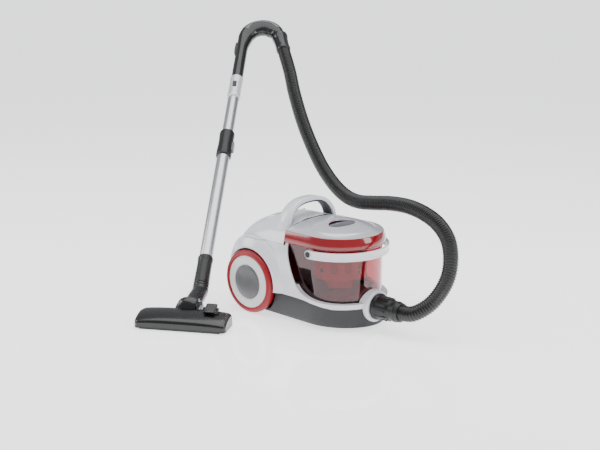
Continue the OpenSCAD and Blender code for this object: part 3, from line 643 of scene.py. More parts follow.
def grown(source, tree, **inputs):
    """Runs a Geometry Nodes tree on an object and returns the result as a plain mesh."""
    step = source.modifiers.new("grow", "NODES")
    step.node_group = tree
    names = {s.name.replace(" ", "_"): s.identifier for s in tree.interface.items_tree
             if getattr(s, "in_out", "") == "INPUT"}
    for name, value in inputs.items():
        step[names[name]] = value
    mesh = bpy.data.meshes.new_from_object(source.evaluated_get(bpy.context.evaluated_depsgraph_get()))
    source.modifiers.clear()
    return mesh


def hose():
    """The ribbed hose from the connector, over the canister, to the swivel on the curved handle."""
    # the first and last points only aim the ends straight along their fittings, as in the CAD sweep
    route = [(CONNECTOR_END - 28, 0, INLET_Z), (CONNECTOR_END, 0, INLET_Z), *HOSE_ROUTE,
             CUFF @ Vector((0, 0, SWIVEL_L)), CUFF @ Vector((0, 0, SWIVEL_L - 30))]
    line = guided_line([Vector(k) for k in route], 12)
    data = bpy.data.curves.new("hose_line", "CURVE")
    data.dimensions = "3D"
    spline = data.splines.new("POLY")
    spline.points.add(len(line) - 1)
    for point, p in zip(spline.points, line):
        point.co = (*put(p), 1)
    source = placed("hose_line", data)
    mesh = grown(source, ribbed_tree(), Radius=HOSE_D / 2000, Rib_Depth=0.0021, Pitch=0.0062, Sides=28,
                 Finish=HOSE)
    bpy.data.objects.remove(source)
    made = placed("hose", mesh)
    dress(made, HOSE, "canister", smooth=80, replaces=["suction_hose"])


hose()


# ---------------------------------------------------------------- wheels
def wheels():
    """Both rear wheels: a tread, a dished disc and a hub cap, each turned about the axle."""
    for side, word in ((-1, "right"), (1, "left")):
        at = axle_frame(side)
        body = word + "_wheel"
        turned("tyre_tread_" + word,
               [(66, 112), (66, 134.4), (70.5, 135.6), (75, 134.8), (78.6, 131.5), (80, 127), (80, 121),
                (78.5, 114), (75, 112)],
               TREAD, body, "tyre_red", at, radius=2, sides=128, replaces=["tyre_" + word])
        turned("wheel_face_" + word,
               [(6.2, 117), (6.2, 131.6), (42.6, 131.6), (43.2, 134.6), (50, 135), (58, 134.6),
                (65, 133.6), (67.9, 131.4), (67.9, 117)],
               DISC, body, "white", at, radius=[0.5, 0.5, 0.5, 0.8, 1.5, 3, 2, 1.5, 0.5], sides=128,
               replaces=["wheel_disc_" + word])
        turned("hub_face_" + word,
               [(0, 132.2), (0, 139.9), (30, 139.2), (39, 137.9), (42.4, 136.2), (42.7, 132.2)],
               HUB, body, "mid_grey", at, radius=[0, 0, 4, 2, 1, 0.4], sides=128,
               replaces=["hub_cap_" + word])


wheels()


# ---------------------------------------------------------------- canister shell
def half_width(x, inset):
    """Half the width of the housing at a station, drawn in by inset."""
    if x > NOSE_X:
        r = BODY_R - inset
        return math.sqrt(max(r * r - (x - NOSE_X) ** 2, 0))
    t = min(max((TURN_X - x) / (TURN_X - TAIL_X - inset), 0), 1)
    return (BODY_R - inset) * (1 - t ** 2.5) ** 0.4


def top_height(x, inset):
    """Height of the housing at a station: level over the front, falling in a curve to the tail."""
    tail_z, crown_z, fall_x, fall_run = 114, 245, 72, 174
    t = min(max((fall_x - x) / fall_run, 0), 1)
    return tail_z + (crown_z - tail_z) * (1 - t ** 2.5) ** 0.46 - inset


def stations(inset, tail, side):
    """x of the sections from the tail to the tip of the nose, closer together where the form turns in."""
    xs = [TAIL_X + inset + (SIDE_X - TAIL_X) * (1 - math.cos(math.pi / 2 * i / tail))
          for i in range(tail + 1)]
    xs += [SIDE_X + (NOSE_X - SIDE_X) * i / side for i in range(1, side + 1)]
    return xs + [NOSE_X + (BODY_R - inset) * math.sin(math.pi / 2 * i / 20) for i in range(1, 21)]


def housing(inset):
    """The closed outer form: a rounded tail, upright sides and a soft crowned top."""
    low, waist, steps = 30, 104, 40
    rings = []
    for x in stations(inset, 30, 14):
        w, top = max(half_width(x, inset), 0.02), top_height(x, inset)
        half = [(w, low), (w, 60), (w, 85)]
        for k in range(steps + 1):
            a = math.pi / 2 * k / steps
            half.append((w * math.cos(a) ** (2 / 2.5), waist + (top - waist) * math.sin(a) ** (2 / 3.4)))
        rings.append([(x, y, z) for y, z in half] + [(x, -y, z) for y, z in reversed(half[:-1])])
    return tube_of(rings)


def seam_prism(drop=0.0):
    """Everything below the seam between housing and pan, which dips towards the nose; drop lowers it."""
    line = smooth_line([(-400, 69), (60, 69), (165, 68.6), (205, 64.5), (245, 58), (280, 56), (500, 56)])
    return prism([(p.x, p.y - drop) for p in line] + [(500, -60), (-400, -60)], -300, 300, SIDEWAYS)


def bay_prism():
    """The open bay for the bin: upright at the back, sweeping forwards to the nose at the foot."""
    line = smooth_line([(106.5, 400), (106.5, 250), (111, 215), (117, 185), (126, 155), (136, 130),
                        (148, 106), (163, 88.5), (185, 78), (215, 71.5), (250, 68.3), (300, 67.5),
                        (500, 67.5)])
    return prism([(p.x, p.y) for p in line] + [(500, 400)], -300, 300, SIDEWAYS)


def nose_outline(r, x0):
    """The nose seen from above: a half circle of radius r with straight sides back to x0."""
    steps = 48
    turn = [math.pi * k / steps for k in range(steps + 1)]
    return [(x0, r)] + [(NOSE_X + r * math.sin(a), r * math.cos(a)) for a in turn] + [(x0, -r)]


def arch_flare(side):
    """The raised lip over a wheel: strong over the top and front, fading away at the back."""
    at = axle_frame(side)
    rows, points = 144, []
    root, lip = 104, 86.2
    for k in range(rows):
        a = 2 * math.pi * k / rows
        p = at.to_3x3() @ Vector((math.cos(a), math.sin(a), 0))
        back = math.degrees(math.atan2(p.z, -p.x))
        keep = soft_step((back - 18) / 60) if p.x < 0 else 1.0
        reach = 88.5 + 27 * keep
        proud = 117.2 + 10.8 * keep
        profile = [(84.3, root), (84.3, proud - 1.6), (84.9, proud - 0.5), (lip, proud)]
        for j in range(1, 9):
            t = j / 8
            profile.append((lip + (reach - lip) * t, proud - (proud - 116.6) * soft_step(t) ** 0.8))
        profile.append((reach, root))
        points += [(r * math.cos(a), r * math.sin(a), z) for r, z in profile]
    return raw(points, ring_faces(len(profile), rows, closed_rows=True), at)


def wheel_room(shell, bore):
    """Cuts both wheel wells, and a hole of radius bore for each end of the axle."""
    for side in (-1, 1):
        at = axle_frame(side)
        cut(shell, rod(WELL_R, WELL_Y, 150, 144, at), rod(bore, 60, 150, 32, at))


def canister_shell():
    """The white housing and its top cover: one hollow form, opened for the wheels, bin, inlet, exhaust
    and cord, then parted at the cover's seam."""
    shell = raw(*housing(0))
    cut(shell, raw(*housing(3)))
    rim = prism(nose_outline(BODY_R - 0.1, 122), 40, 100)
    cut(rim, prism(nose_outline(105, 60), 20, 240))
    combine(shell, rim, "UNION")
    for side in (-1, 1):
        combine(shell, arch_flare(side), "UNION")
    cut(shell, seam_prism(), bay_prism())
    wheel_room(shell, 7)
    cut(shell, rod(MOUTH_R, NOSE_X, 340, 64, INLET))
    cut(shell, block(-130, -60, -55.5, 55.5, 74.5, 130.5))
    cut(shell, rod(9.2, -130, -60, 32, axis_frame((0, -68, 100), (1, 0, 0))))
    top = copy_of(shell)
    cut(shell, block(-300, 400, -300, 300, SEAM_Z - 0.5, 400))
    cut(top, block(-300, 400, -300, 300, -50, SEAM_Z + 0.5))
    for side in (-1, 1):
        cut(top, block(-16.6, 16.6, -23.6, 23.6, -30, 30, pedal_frame(side)))
    cut(top, block(95, 100, -19, 19, 225, 260))
    settle(shell, "housing_shell", PEARL, "canister", bevel=0.7,
           replaces=["body_shell", "wheel_arches"])
    settle(top, "top_cover", PEARL, "canister", bevel=0.7, replaces=["rear_cover"])


def pedal_frame(side):
    """The middle of a foot pedal on the top cover, tilted with the cover."""
    return Matrix.Translation((2, side * 32, 232.4)) @ Matrix.Rotation(math.radians(-13.7), 4, "Y")


def pan_form(inset):
    """The pan's closed form: sides that lean out as they rise, and a small turned lower edge."""
    low = 8 + inset
    rise = ((0.86, low), (0.9, low + 0.6), (0.925, low + 3), (0.945, low + 10), (0.965, 28), (0.985, 46),
            (0.997, 60), (1.0, 80))
    rings = []
    for x in stations(inset, 24, 10):
        w = max(half_width(x, inset), 0.02)
        half = [(w * k, z) for k, z in rise]
        rings.append([(x, y, z) for y, z in half] + [(x, -y, z) for y, z in reversed(half)])
    return tube_of(rings)


def pan():
    """The dark base pan, hollow, with the caster's pocket, the wheel wells and the inlet's mouth."""
    base = raw(*pan_form(0.15))
    cut(base, raw(*pan_form(3.2)))
    combine(base, seam_prism(0.5), "INTERSECT")
    caster = Matrix.Translation((222, 0, 0))
    combine(base, rod(33, 8, 48, 64, caster), "UNION")
    cut(base, rod(30, 0, 42, 64, caster), rod(5.1, 0, 60, 64, caster))
    wheel_room(base, 13)
    cut(base, rod(MOUTH_R, NOSE_X, 340, 64, INLET))
    settle(base, "lower_pan", PAN, "canister", bevel=0.8, replaces=["base_pan"])


def follow(profile, x0):
    """Carries a closed (r, z) outline along both straight sides and round the nose; one closed solid."""
    turns, run = 64, 8
    straight = [x0 + (NOSE_X - x0) * i / run for i in range(run)]
    rings = [[(x, r, z) for r, z in profile] for x in straight]
    for k in range(turns + 1):
        a = math.pi / 2 - math.pi * k / turns
        rings.append([(NOSE_X + r * math.cos(a), r * math.sin(a), z) for r, z in profile])
    rings += [[(x, -r, z) for r, z in profile] for x in reversed(straight)]
    return tube_of(rings)


def lid_height(x, y):
    """The dome: crowned across, falling to the ring in front, with an oval plate and a dish on it."""
    radius, front = 104.5, 143.5
    run = max(x - 150, 0) * radius / front
    s = min(math.hypot(run, y) / radius, 1.0)
    z = RING_TOP + 0.3 + (LID_TOP - RING_TOP - 0.8) * (1 - s ** 2.2)
    oval = math.hypot((x - 200) / 74, y / 84)
    z += 1.8 * (1 - soft_step((oval - 0.93) / 0.07)) * (1 - soft_step((s - 0.85) / 0.12))
    dish = math.hypot((x - BUTTON_X) / 27, y / 47)
    return z - 3.2 * (1 - soft_step((dish - 0.62) / 0.38))


def lid_reach(angle, edge, back, centre):
    """Distance from the centre to the lid's outline in one direction."""
    c, s = math.cos(angle), math.sin(angle)
    reach = [1e6]
    if c < -1e-6:
        reach.append((back - centre) / c)
    if abs(s) > 1e-6:
        reach.append(edge / abs(s))
    best = min(reach)
    if centre + best * c > NOSE_X:
        d = centre - NOSE_X
        best = -d * c + math.sqrt(edge * edge - (d * s) ** 2)
    return best


def lens_outline(half_w, half_l):
    """Two arcs that meet in points at both ends, lying along y."""
    steps = 28
    r = (half_l ** 2 + half_w ** 2) / (2 * half_w)
    span = math.asin(half_l / r)
    right = [(r * math.cos(a) - r + half_w, r * math.sin(a))
             for a in [span * (2 * k / steps - 1) for k in range(steps + 1)]]
    return right + [(-x, -y) for x, y in right[1:-1]]


def capped(outline, centre, height, thick, rows=10):
    """A closed plate over an outline round the centre; its top follows height(x, y)."""
    count = len(outline)
    rings = []
    for k in range(rows, 0, -1):
        t = (k / rows) ** 0.8
        rings.append([(centre[0] + t * x, centre[1] + t * y) for x, y in outline])
    points = [(centre[0], centre[1], height(*centre) - thick)]
    low = [[(x, y, height(x, y) - thick) for x, y in ring] for ring in reversed(rings)]
    top = [[(x, y, height(x, y)) for x, y in ring] for ring in rings]
    layers = low + top
    for ring in layers:
        points += ring
    points.append((centre[0], centre[1], height(*centre)))
    faces = [(0, 1 + (i + 1) % count, 1 + i) for i in range(count)]
    faces += ring_faces(count, len(layers), 1)
    last = len(points) - 1
    base = 1 + (len(layers) - 1) * count
    faces += [(base + i, base + (i + 1) % count, last) for i in range(count)]
    return points, faces


def lid():
    """The bin's lid: a lacquered dome, the button in its dish and the red ring round its edge."""
    centre = (176, 0)
    outline = []
    for k in range(180):
        a = 2 * math.pi * k / 180
        reach = lid_reach(a, 104.4, LID_BACK + 0.3, centre[0])
        outline.append((reach * math.cos(a), reach * math.sin(a)))
    dome = raw(*capped(outline, centre, lid_height, 3, 40))
    cut(dome, prism([(BUTTON_X + x, y) for x, y in lens_outline(26.5, 43.6)], 200, 260))
    settle(dome, "lid_cover", LACQUER, "bin_lid", bevel=0.5, replaces=["lid_dome"])
    piece("lens_button",
          *capped(lens_outline(25.6, 42.2), (BUTTON_X, 0),
                  lambda x, y: 239.6 - 0.0011 * y * y - 0.004 * (x - BUTTON_X) ** 2, 5, 8),
          PLUM, "lid_button", "lens", bevel=0.6, replaces=["lid_button"])
    low, high = 196.2, 226.2
    band = rounded([(98.4, low), (108.4, low), (111.2, 198.6), (111.7, 205), (110.4, 213), (107.8, 220.5),
                    (105.6, 225.4), (103.8, high), (98.4, high)], [0.4, 2, 3, 6, 8, 8, 2, 1, 0.4], 5)
    ring = raw(*follow(band, LID_BACK + 0.1))
    combine(ring, block(LID_BACK + 0.1, LID_BACK + 4, -99, 99, low, high), "UNION")
    settle(ring, "red_ring", RED, "bin_lid", bevel=0.5, replaces=["lid_ring"])


def bail():
    """The bin's bail: a band round the nose with an eye at each end, and the two rivets it swings on."""
    band = rounded([(116.1, -10.2), (119.9, -10.2), (120.3, -8), (119.5, -6.4), (119.5, 6.4), (120.3, 8),
                    (119.9, 10.2), (116.1, 10.2)], [0.8, 1, 0.6, 0.8, 0.8, 0.6, 1, 0.8], 3)
    rings = []
    for k in range(97):
        a = math.radians(-86.5 + 173 * k / 96)
        rings.append([(NOSE_X + r * math.cos(a), r * math.sin(a), PIVOT[1] + z) for r, z in band])
    arc = raw(*tube_of(rings))
    for side in (-1, 1):
        eye = spun([(5.1, 116.1), (5.1, 119.6), (7.9, 119.6), (8.5, 120.4), (10, 120.3), (10.5, 119.4),
                    (10.5, 116.1)], 0.5, 64, pivot_frame(side))
        combine(arc, eye, "UNION")
    for side in (-1, 1):
        cut(arc, rod(5.1, 100, 130, 48, pivot_frame(side)))
    settle(arc, "bail_band", PEARL, "bail", replaces=["bail_handle"])
    pins = [spun([(0, 105), (5, 105), (5, 120.9), (7.2, 121), (7.3, 122.2), (5.4, 122.9), (2.6, 122.9),
                  (1.8, 122.0), (0, 122.0)], 0.3, 48, pivot_frame(side)) for side in (-1, 1)]
    combine(pins[0], pins[1], "UNION")
    settle(pins[0], "bail_rivets", BLACK, "bin", replaces=["bail_pins"])


def arch_point(a, inset):
    """A point of the carrying handle's arch, drawn in by inset; a runs from foot to foot."""
    w, h, power = 90 - inset, 94 - inset, 2 / 2.6
    c, s = math.cos(a), math.sin(a)
    return Vector((0, math.copysign(w * abs(c) ** power, c), 195 + h * max(s, 0) ** power))


def arch_loft(inner, outer, wide, flare):
    """One part of the carrying handle between two insets, wider towards its feet and cut to the cover."""
    steps = 72
    rings = []
    for k in range(steps + 1):
        a = math.pi * k / steps
        out, into = arch_point(a, outer), arch_point(a, inner)
        half = wide + flare * abs(math.cos(a)) ** 3
        box = rounded([(-half, 0), (-half + 1.5, 1), (half - 1.5, 1), (half, 0)], [1.2, 2.5, 2.5, 1.2])
        rings.append([tuple(into + (out - into) * t + Vector((78 + u, 0, 0))) for u, t in box])
    return cut(raw(*tube_of(rings)), raw(*housing(1.5)))


def carry_handle():
    """The arch over the canister and the soft grip along its inner face."""
    settle(arch_loft(9, 0.2, 15, 6), "carry_arch", PEARL, "canister", smooth=50,
           replaces=["carry_handle"])
    settle(arch_loft(14, 8.8, 11.5, 3.5), "carry_grip", SOFT, "canister", smooth=50,
           replaces=["handle_grip"])


def inlet():
    """The collar on the nose, the ribbed hose connector in it and the connector's release button."""
    ring = spun([(28.3, 296), (28.3, 311), (30.2, 312.4), (36, 312.4), (38.4, 310.6), (39.2, 306),
                 (40.2, 292), (42.5, 280), (46, 268), (35.2, 268), (35.2, 296)],
                [0.3, 1.5, 1, 2, 2, 3, 5, 5, 0, 0, 0], 96, INLET)
    cut(ring, prism(nose_outline(106, 60), -20, 240))
    cut(ring, block(0, 400, -100, 100, -50, 9))
    settle(ring, "inlet_collar", PEARL, "canister", replaces=["inlet_ring"])
    barrel = spun([(17, 299), (27.9, 299), (27.9, 312.8), (32, 313.2), (32.2, 319.5), (29.6, 321), (29, 324),
                   (28.4, 333), (27.4, 346), (26.2, 357), (23.6, 360), (23.5, 367.5), (25.2, 369),
                   (25.2, 377), (23.6, 378.5), (23.2, 386), (21.8, CONNECTOR_END), (17, CONNECTOR_END)],
                  [0.4, 0.8, 0.3, 1, 1, 1, 2, 3, 3, 1.2, 1, 1, 1, 1, 1, 1, 1, 0.3], 96, INLET)
    for a in range(0, 360, 30):
        if a != BUTTON_SIDE:
            rib = block(326, 354, 26.2, 28.9, -1.4, 1.4,
                        Matrix.Translation((0, 0, INLET_Z)) @ Matrix.Rotation(math.radians(a), 4, "X"))
            combine(barrel, rib, "UNION")
    cut(barrel, block(325.4, 352.6, -9.6, 9.6, INLET_Z + 19.6, INLET_Z + 40))
    settle(barrel, "connector_barrel", BLACK, "connector", bevel=0.5, replaces=["hose_connector"])
    pad = rounded([(-13, -9), (13, -9), (13, 9), (-13, 9)], 3.5, 5)
    piece("connector_button",
          *capped(pad, (339, 0),
                  lambda x, y: INLET_Z + 29.4 - 0.006 * (x - 339) ** 2 - 0.012 * y * y, 5, 6),
          DARK, "connector_latch", "dark_grey", bevel=0.4, replaces=["connector_latch"])


def tubes():
    """The wand's parts along its axis: two tubes, the length adjuster, the neck and the handle's collar."""
    spigot = COLLAR_S + 28
    turned("wand_inner_tube", [(15, 290), (16, 290), (16, spigot), (15, spigot)],
           TUBE, "canister", "aluminium", WAND, radius=0.2, sides=64, replaces=["inner_tube"])
    low, high = OUTER_S - 20, SLEEVE_S + 60
    turned("wand_outer_tube", [(16.5, low), (17.5, low), (17.5, high), (16.5, high)],
           TUBE, "telescope", "aluminium", WAND, radius=0.2, sides=64, replaces=["outer_tube"])
    sleeve = spun([(17.6, SLEEVE_S), (20.6, SLEEVE_S), (21.5, SLEEVE_S + 5), (21.3, SLEEVE_S + 20),
                   (20.2, SLEEVE_S + 44), (20.4, SLEEVE_S + 62), (21.5, INNER_S - 8), (20.6, INNER_S - 1.5),
                   (18.4, INNER_S), (16.1, INNER_S), (16.1, high), (17.6, high)],
                  [0.5, 1.5, 3, 8, 10, 10, 3, 1.5, 1, 0.5, 0, 0], 96, WAND)
    cut(sleeve, block(-8, 8, -32, -18.2, SLEEVE_S + 14, SLEEVE_S + 58, WAND))
    settle(sleeve, "adjuster_grip", BLACK, "telescope", replaces=["adjuster_sleeve"])
    turned("neck_sleeve",
           [(15, NECK_S + 20), (19.2, NECK_S + 20), (20, NECK_S + 23), (19.4, NECK_S + 48),
            (19, OUTER_S - 16), (20, OUTER_S - 10), (20, OUTER_S - 3), (18.6, OUTER_S), (17.6, OUTER_S),
            (17.6, low), (15, low)],
           BLACK, "telescope", "black", WAND, radius=[0.3, 1, 2, 6, 6, 2, 2, 1, 0.3, 0, 0],
           replaces=["neck_tube"])
    socket = spun([(16.05, COLLAR_S), (18.2, COLLAR_S), (19.3, COLLAR_S + 4), (19.5, COLLAR_S + 14),
                   (18.6, COLLAR_S + 22), (18.4, COLLAR_S + 60), (19.5, GRIP_S - 7), (19.5, GRIP_S - 1.5),
                   (18.6, GRIP_S), (15, GRIP_S), (15, spigot), (16.05, spigot)],
                  [0.3, 1, 2, 3, 3, 8, 2, 1, 0.5, 0.3, 0, 0], 96, WAND)
    cut(socket, block(-30, -16.2, -5.5, 5.5, COLLAR_S + 34, COLLAR_S + 54, WAND))
    settle(socket, "handle_collar", LACQUER, "canister", replaces=["handle_socket"])


def grip_station(s):
    """Frame on the curved handle's centre line, s mm from its start: z along it, +y away from the bend."""
    straight = BEND_S - GRIP_S
    if s <= straight:
        return WAND @ Matrix.Translation((0, 0, GRIP_S + s))
    a = (s - straight) / BEND_R
    turn = WAND @ Matrix.Translation((0, -BEND_R, BEND_S)) @ Matrix.Rotation(a, 4, "X")
    return turn @ Matrix.Translation((0, BEND_R, 0))


GRIP_LEN = (BEND_S - GRIP_S) + BEND_R * math.radians(BEND_A)


def grip_section(s, wide=0.0, low=-180, high=180, count=40, depth=0.0):
    """Points round the handle at s: outside radius as the tube, fuller towards the inside of the bend."""
    into = soft_step((s - 120) / 80) * (1 - 0.5 * soft_step((s - 292) / 32))
    side = 16.6 + 2.2 * soft_step(s / 60) + 3.4 * into + wide
    out = 16.8 + 0.2 * soft_step(s / 60) + wide
    inner = 16.8 + 15.5 * into + wide
    at = grip_station(s)
    pts = []
    for k in range(count + 1 if high - low < 360 else count):
        a = math.radians(low + (high - low) * k / count)
        c, n = math.cos(a), math.sin(a)
        pts.append(at @ Vector(((side - depth) * n, (out - depth) * c if c > 0 else (inner - depth) * c, 0)))
    return pts


def air_ring(at, ahead=0):
    """A ring of the handle's air bore at a station."""
    turn = [2 * math.pi * j / 32 for j in range(32)]
    return [tuple(at @ Vector((AIR_R * math.sin(a), AIR_R * math.cos(a), ahead))) for a in turn]


def handle():
    """The curved handle with its air bore, the lacquered top shell, the air slider and the swivel."""
    steps = 90
    core = raw(*tube_of([[tuple(p) for p in grip_section(GRIP_LEN * k / steps)] for k in range(steps + 1)]))
    middle = [air_ring(grip_station(GRIP_LEN * k / steps)) for k in range(1, steps)]
    cut(core, raw(*tube_of([air_ring(grip_station(-3))] + middle + [air_ring(grip_station(GRIP_LEN), 3)])))
    cut(core, block(-8, 8, 15.2, 30, GRIP_S + 88, GRIP_S + 164, WAND))
    combine(core, spun([(14, -4), (15.9, -4), (15.9, 14), (14, 14)], 0, 48, CUFF), "UNION")
    settle(core, "grip_body", GLOSS, "canister", smooth=50, replaces=["curved_handle"])
    # the lacquered shell over the top of the bend, from the first seam to the swivel
    begin, end = 196, GRIP_LEN - 14
    outer = []
    for k in range(41):
        s = begin + (end - begin) * k / 40
        edge = 104 - 12 * soft_step((s - begin) / 30)
        over = [tuple(p) for p in grip_section(s, 0.9, -edge, edge, 32)]
        under = [tuple(p) for p in grip_section(s, 0.9, -edge, edge, 32, depth=1.6)]
        outer.append(over + under[::-1])
    piece("grip_top_shell", *tube_of(outer), GRIP_SHELL, "canister", "black_gloss", smooth=40, bevel=0.3)
    slider = rounded([(-6.8, -25), (6.8, -25), (6.8, 25), (-6.8, 25)], 5, 5)
    points, faces = capped(slider, (0, 0), lambda x, y: 6.8 - 0.0045 * y * y - 0.02 * x * x
                           + 0.35 * math.cos(y * 1.1), 5.5, 8)
    lay = WAND @ Matrix.Translation((0, 16, GRIP_S + 126)) @ OUTWARDS
    piece("air_slider", points, faces, DARK, "bleed_slider", "mid_grey", lay, bevel=0.3,
          replaces=["bleed_slider"])
    turned("swivel_sleeve",
           [(16.05, 0.5), (21.4, 0.5), (23.6, 4), (23.8, 14), (22.0, 21), (20.8, 40), (20.6, 52), (21.4, 58),
            (21.2, 66), (19.4, SWIVEL_L), (16.05, SWIVEL_L)],
           GLOSS, "hose_swivel", "black_gloss", CUFF, radius=[0.3, 1.5, 2, 3, 3, 6, 4, 2, 2, 1.5, 0.3],
           replaces=["swivel_cuff"])


def head_profile(d, x=0.0):
    """Section of the floor head: flat face in front, a long rounded back; lower towards both ends."""
    t = abs(x) / (HEAD_LEN / 2)
    drop = 5.5 * t ** 3
    y, e = HEAD_FRONT, HEAD_FRONT + HEAD_DEP
    line = [(y + d, 6 - 2 * d), (y + d, 19 - 0.5 * drop - d), (y + 2.5 + d, 23.5 - 0.7 * drop - d),
            (y + 9, 28 - drop - d), (y + 22, 32.5 - drop - d), (y + 40, 36 - drop - d),
            (y + 58, 37.6 - drop - d), (e - 8, 36.5 - drop - d), (e - 2 - d, 31 - drop - d),
            (e - d, 25 - drop - d), (e - d, 6 - 2 * d)]
    return rounded(line, [0.5, 2, 3, 6, 10, 12, 12, 6, 3, 3, 0.5], 3)


def head_form(d):
    """The floor head's closed form, drawn in by d, with rounded ends."""
    half = HEAD_LEN / 2 - d
    mid = HEAD_FRONT + HEAD_DEP / 2
    rings = []
    for k in range(61):
        t = -1 + 2 * k / 60
        x = half * math.sin(math.pi / 2 * t) if abs(t) > 0.6 else half * t * math.sin(math.pi * 0.3) / 0.6
        end = min((half - abs(x)) / 14, 1)
        shrink = 1 - 0.3 * (1 - math.sqrt(max(1 - (1 - end) ** 2, 0)))
        rings.append([(x, mid + (y - mid) * shrink, 6 - 2 * d + (z - 6 + 2 * d) * (0.55 + 0.45 * shrink))
                      for y, z in head_profile(d, x)])
    return tube_of(rings)


def plate_across(outline, radius, steps, low, high):
    """A plate of the floor head, drawn in y and z and reaching across it from low to high."""
    section = rounded(outline, radius, steps)
    return raw(*tube_of([[(x, y, z) for y, z in section] for x in (low, high)]), HEAD)


def floor_head():
    """The floor head's cover with the hood over the elbow, two cheeks that hold it and the pedal's lugs."""
    cover = raw(*head_form(0), HEAD)
    cut(cover, raw(*head_form(2.4), HEAD))
    back = HEAD_FRONT + HEAD_DEP
    swell = [(31.5 * (1 - (abs(x) / 30.5) ** 3.4) ** 0.42, x) for x in
             (-30.4, -30, -29, -27, -24, -20, -14, -7, 0, 7, 14, 20, 24, 27, 29, 30, 30.4)]
    hood = spun([(0, -30.5), *swell, (0, 30.5)], 0, 96, knee_frame(1))
    combine(hood, block(-40, 40, BALL.y - 44, BALL.y - 11, 20, 80, HEAD), "INTERSECT")
    combine(cover, hood, "UNION")
    cut(cover, rod(BALL_R + 1.2, -22.6, 22.6, 72, knee_frame(1)))
    for side in (-1, 1):
        cheek = spun([(0, 22.9), (13, 22.9), (16, 23.5), (16.6, 26), (15.5, 29.5), (12, 31), (0, 31.4)],
                     [0, 1, 1, 2, 2, 3, 0], 64, knee_frame(side))
        combine(cover, cheek, "UNION")
        web = [(back - 14, 24), (back - 12, 35), (BALL.y - 9, 43), (BALL.y, 40), (BALL.y, 19), (back - 4, 12)]
        low, high = (23.2, 30.2) if side > 0 else (-30.2, -23.2)
        combine(cover, plate_across(web, 3, 3, low, high), "UNION")
        combine(cover, rod(4, 16, 27, 32, knee_frame(side)), "UNION")
    for x in (46, 80):
        lug = [(-74, 30), (-72, 44), (-66, 49.5), (-60, 44), (-57, 30)]
        combine(cover, plate_across(lug, [1, 4, 5, 4, 1], 4, x, x + 4), "UNION")
    cut(cover, rod(3.1, 20, 110, 32, HEAD @ axis_frame((0, -66, 43), (1, 0, 0))))
    settle(cover, "head_shell", GLOSS, "floor_head", bevel=0.5, replaces=["head_cover"])


def elbow():
    """The knee: a barrel that rocks between the cheeks, a ball where the wand turns, and its collar."""
    barrel = spun([(0, -21.9), (20, -21.9), (24, -20), (26, -14), (26.2, 0), (26, 14), (24, 20), (20, 21.9),
                   (0, 21.9)], [0, 3, 3, 6, 10, 6, 3, 3, 0], 72, knee_frame(1))
    rise = math.atan2(KNEE.z - BALL.z, KNEE.y - BALL.y)
    run = (KNEE - BALL).length
    lean = HEAD @ Matrix.Translation(BALL) @ Matrix.Rotation(rise - math.pi / 2, 4, "X")
    duct = [(0, 0), (21.6, 0), (21.4, run * 0.45), (20.6, run * 0.8), (20.2, run), (0, run)]
    combine(barrel, spun(duct, 0, 72, lean), "UNION")
    ball = [(0, -20.4)] + [(20.4 * math.cos(math.radians(a)), 20.4 * math.sin(math.radians(a)))
                           for a in range(-80, 81, 8)] + [(0, 20.4)]
    combine(barrel, spun(ball, 0, 72, HEAD @ Matrix.Translation(KNEE)), "UNION")
    collar = [(0, NECK_S - 4), (19, NECK_S - 2), (20.6, NECK_S + 3), (20.6, NECK_S + 8), (19.4, NECK_S + 10),
              (19.4, NECK_S + 13), (20.4, NECK_S + 15), (20.2, NECK_S + 19.4), (0, NECK_S + 19.4)]
    combine(barrel, spun(collar, [0, 2, 2, 1, 1, 1, 1, 0.6, 0], 96, WAND), "UNION")
    combine(barrel, rod(14.9, NECK_S, NECK_S + 36, 64, WAND), "UNION")
    cut(barrel, rod(12, NECK_S, NECK_S + 40, 48, WAND))
    cut(barrel, rod(4.2, -30, 30, 32, knee_frame(1)))
    settle(barrel, "elbow_barrel", GLOSS, "elbow", bevel=0.4, replaces=["elbow_duct"])


def pedal():
    """The floor head's foot pedal: a ribbed tread on a rod between the lugs."""
    at = HEAD @ Matrix.Translation((65, -66, 43))
    tread = at @ Matrix.Rotation(math.radians(20), 4, "X") @ Matrix.Translation((0, -1, 1))
    pad = rounded([(-13.6, -18), (13.6, -18), (14, 16), (-14, 16)], 4, 5)
    plate = raw(*capped(pad, (0, 0), lambda x, y: 4.2 + 1.4 * (y / 17) ** 2 - 0.8 * (x / 14) ** 2
                        + 0.35 * math.cos(y * 1.6), 3.4, 14), tread)
    pivot = spun([(0, -19), (2.95, -19), (2.95, 19), (0, 19)], 0.3, 32, at @ axis_frame((0, 0, 0), (1, 0, 0)))
    combine(plate, pivot, "UNION")
    settle(plate, "lift_pedal", GLOSS, "foot_pedal", bevel=0.3, replaces=["foot_pedal"])


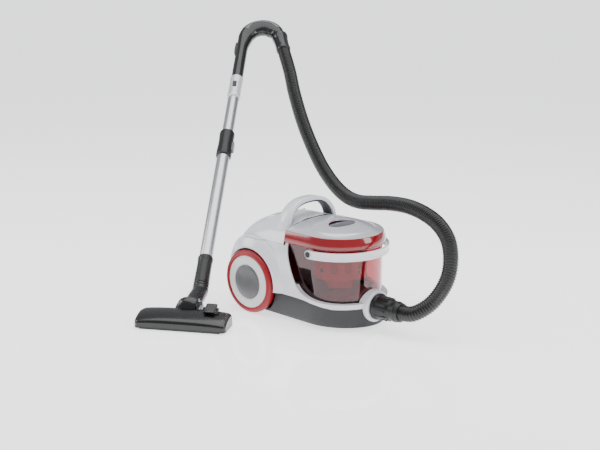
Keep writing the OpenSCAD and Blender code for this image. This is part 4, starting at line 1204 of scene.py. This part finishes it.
def tuft_tree():
    """Geometry Nodes: sets a splayed tuft at even steps along a line, turned a little by a fixed seed."""
    tree, source = mesh_tree("brush_tufts", (
        ("Tufts", "NodeSocketInt"), ("Root", "NodeSocketFloat"), ("Tip", "NodeSocketFloat"),
        ("Height", "NodeSocketFloat"), ("Seed", "NodeSocketInt"), ("Finish", "NodeSocketMaterial")))
    line = node(tree, "GeometryNodeMeshToCurve", None, Mesh=source["Geometry"])
    spots = node(tree, "GeometryNodeCurveToPoints", {"mode": "COUNT"}, Curve=line.outputs[0],
                 Count=source["Tufts"])
    tuft = node(tree, "GeometryNodeMeshCone", {"fill_type": "TRIANGLE_FAN"}, Vertices=8,
                Radius_Top=source["Root"], Radius_Bottom=source["Tip"], Depth=source["Height"])
    spin = node(tree, "FunctionNodeRandomValue", {"data_type": "FLOAT_VECTOR"}, Seed=source["Seed"])
    spin.inputs[0].default_value = (-0.12, -0.12, 0)
    spin.inputs[1].default_value = (0.12, 0.12, 3.1)
    set_out = node(tree, "GeometryNodeInstanceOnPoints", None, Points=spots.outputs[0],
                   Instance=tuft.outputs[0], Rotation=spin.outputs[0])
    finish_tree(tree, set_out.outputs[0], source["Finish"])
    return tree


def brush():
    """The strip's tufts, in a row across the front of the floor head."""
    y = HEAD_FRONT + 16.5
    mesh = bpy.data.meshes.new("brush_line")
    mesh.from_pydata([put(HEAD @ Vector((x, y, 4.4))) for x in (-102.5, 102.5)], [(0, 1)], [])
    source = placed("brush_line", mesh)
    tufts = grown(source, tuft_tree(), Tufts=58, Root=0.0011, Tip=0.0016, Height=0.0062, Seed=4,
                  Finish=BRISTLE)
    bpy.data.objects.remove(source)
    dress(placed("brush_bristles", tufts), BRISTLE, "brush", smooth=40)


canister_shell()
pan()
lid()
bail()
carry_handle()
inlet()
tubes()
handle()
floor_head()
elbow()
pedal()
brush()

# ---------------------------------------------------------------- finish of the frame's own nodes
FINISH = {
    "bulkhead": DARK, "bin_deck": DARK, "wheel_axles": STEEL, "caster_fork": PAN, "caster_wheel": SOFT,
    "caster_pin": STEEL, "inlet_duct": DARK, "motor_housing": ZINC, "motor_mounts": SOFT,
    "motor_shaft": STEEL, "fan_impeller": TUBE, "motor_filter": FOAM, "exhaust_filter": FLEECE,
    "exhaust_grille": PAN, "reel_drum": BLACK, "reel_spindle": DARK, "cord_outlet": BLACK,
    "power_pedal": LACQUER, "rewind_pedal": LACQUER, "pan_screws": STEEL, "dust_cup": CUP,
    "cyclone_shroud": CYCLONE, "cyclone_cone": CYCLONE, "socket_latch": BLACK, "adjuster_button": GREY,
    "sole_plate": BLACK, "brush_strip": BRISTLE, "head_rollers": SOFT,
}
for name, finish in FINISH.items():
    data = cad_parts[name].data
    data.materials.clear()
    data.materials.append(finish)
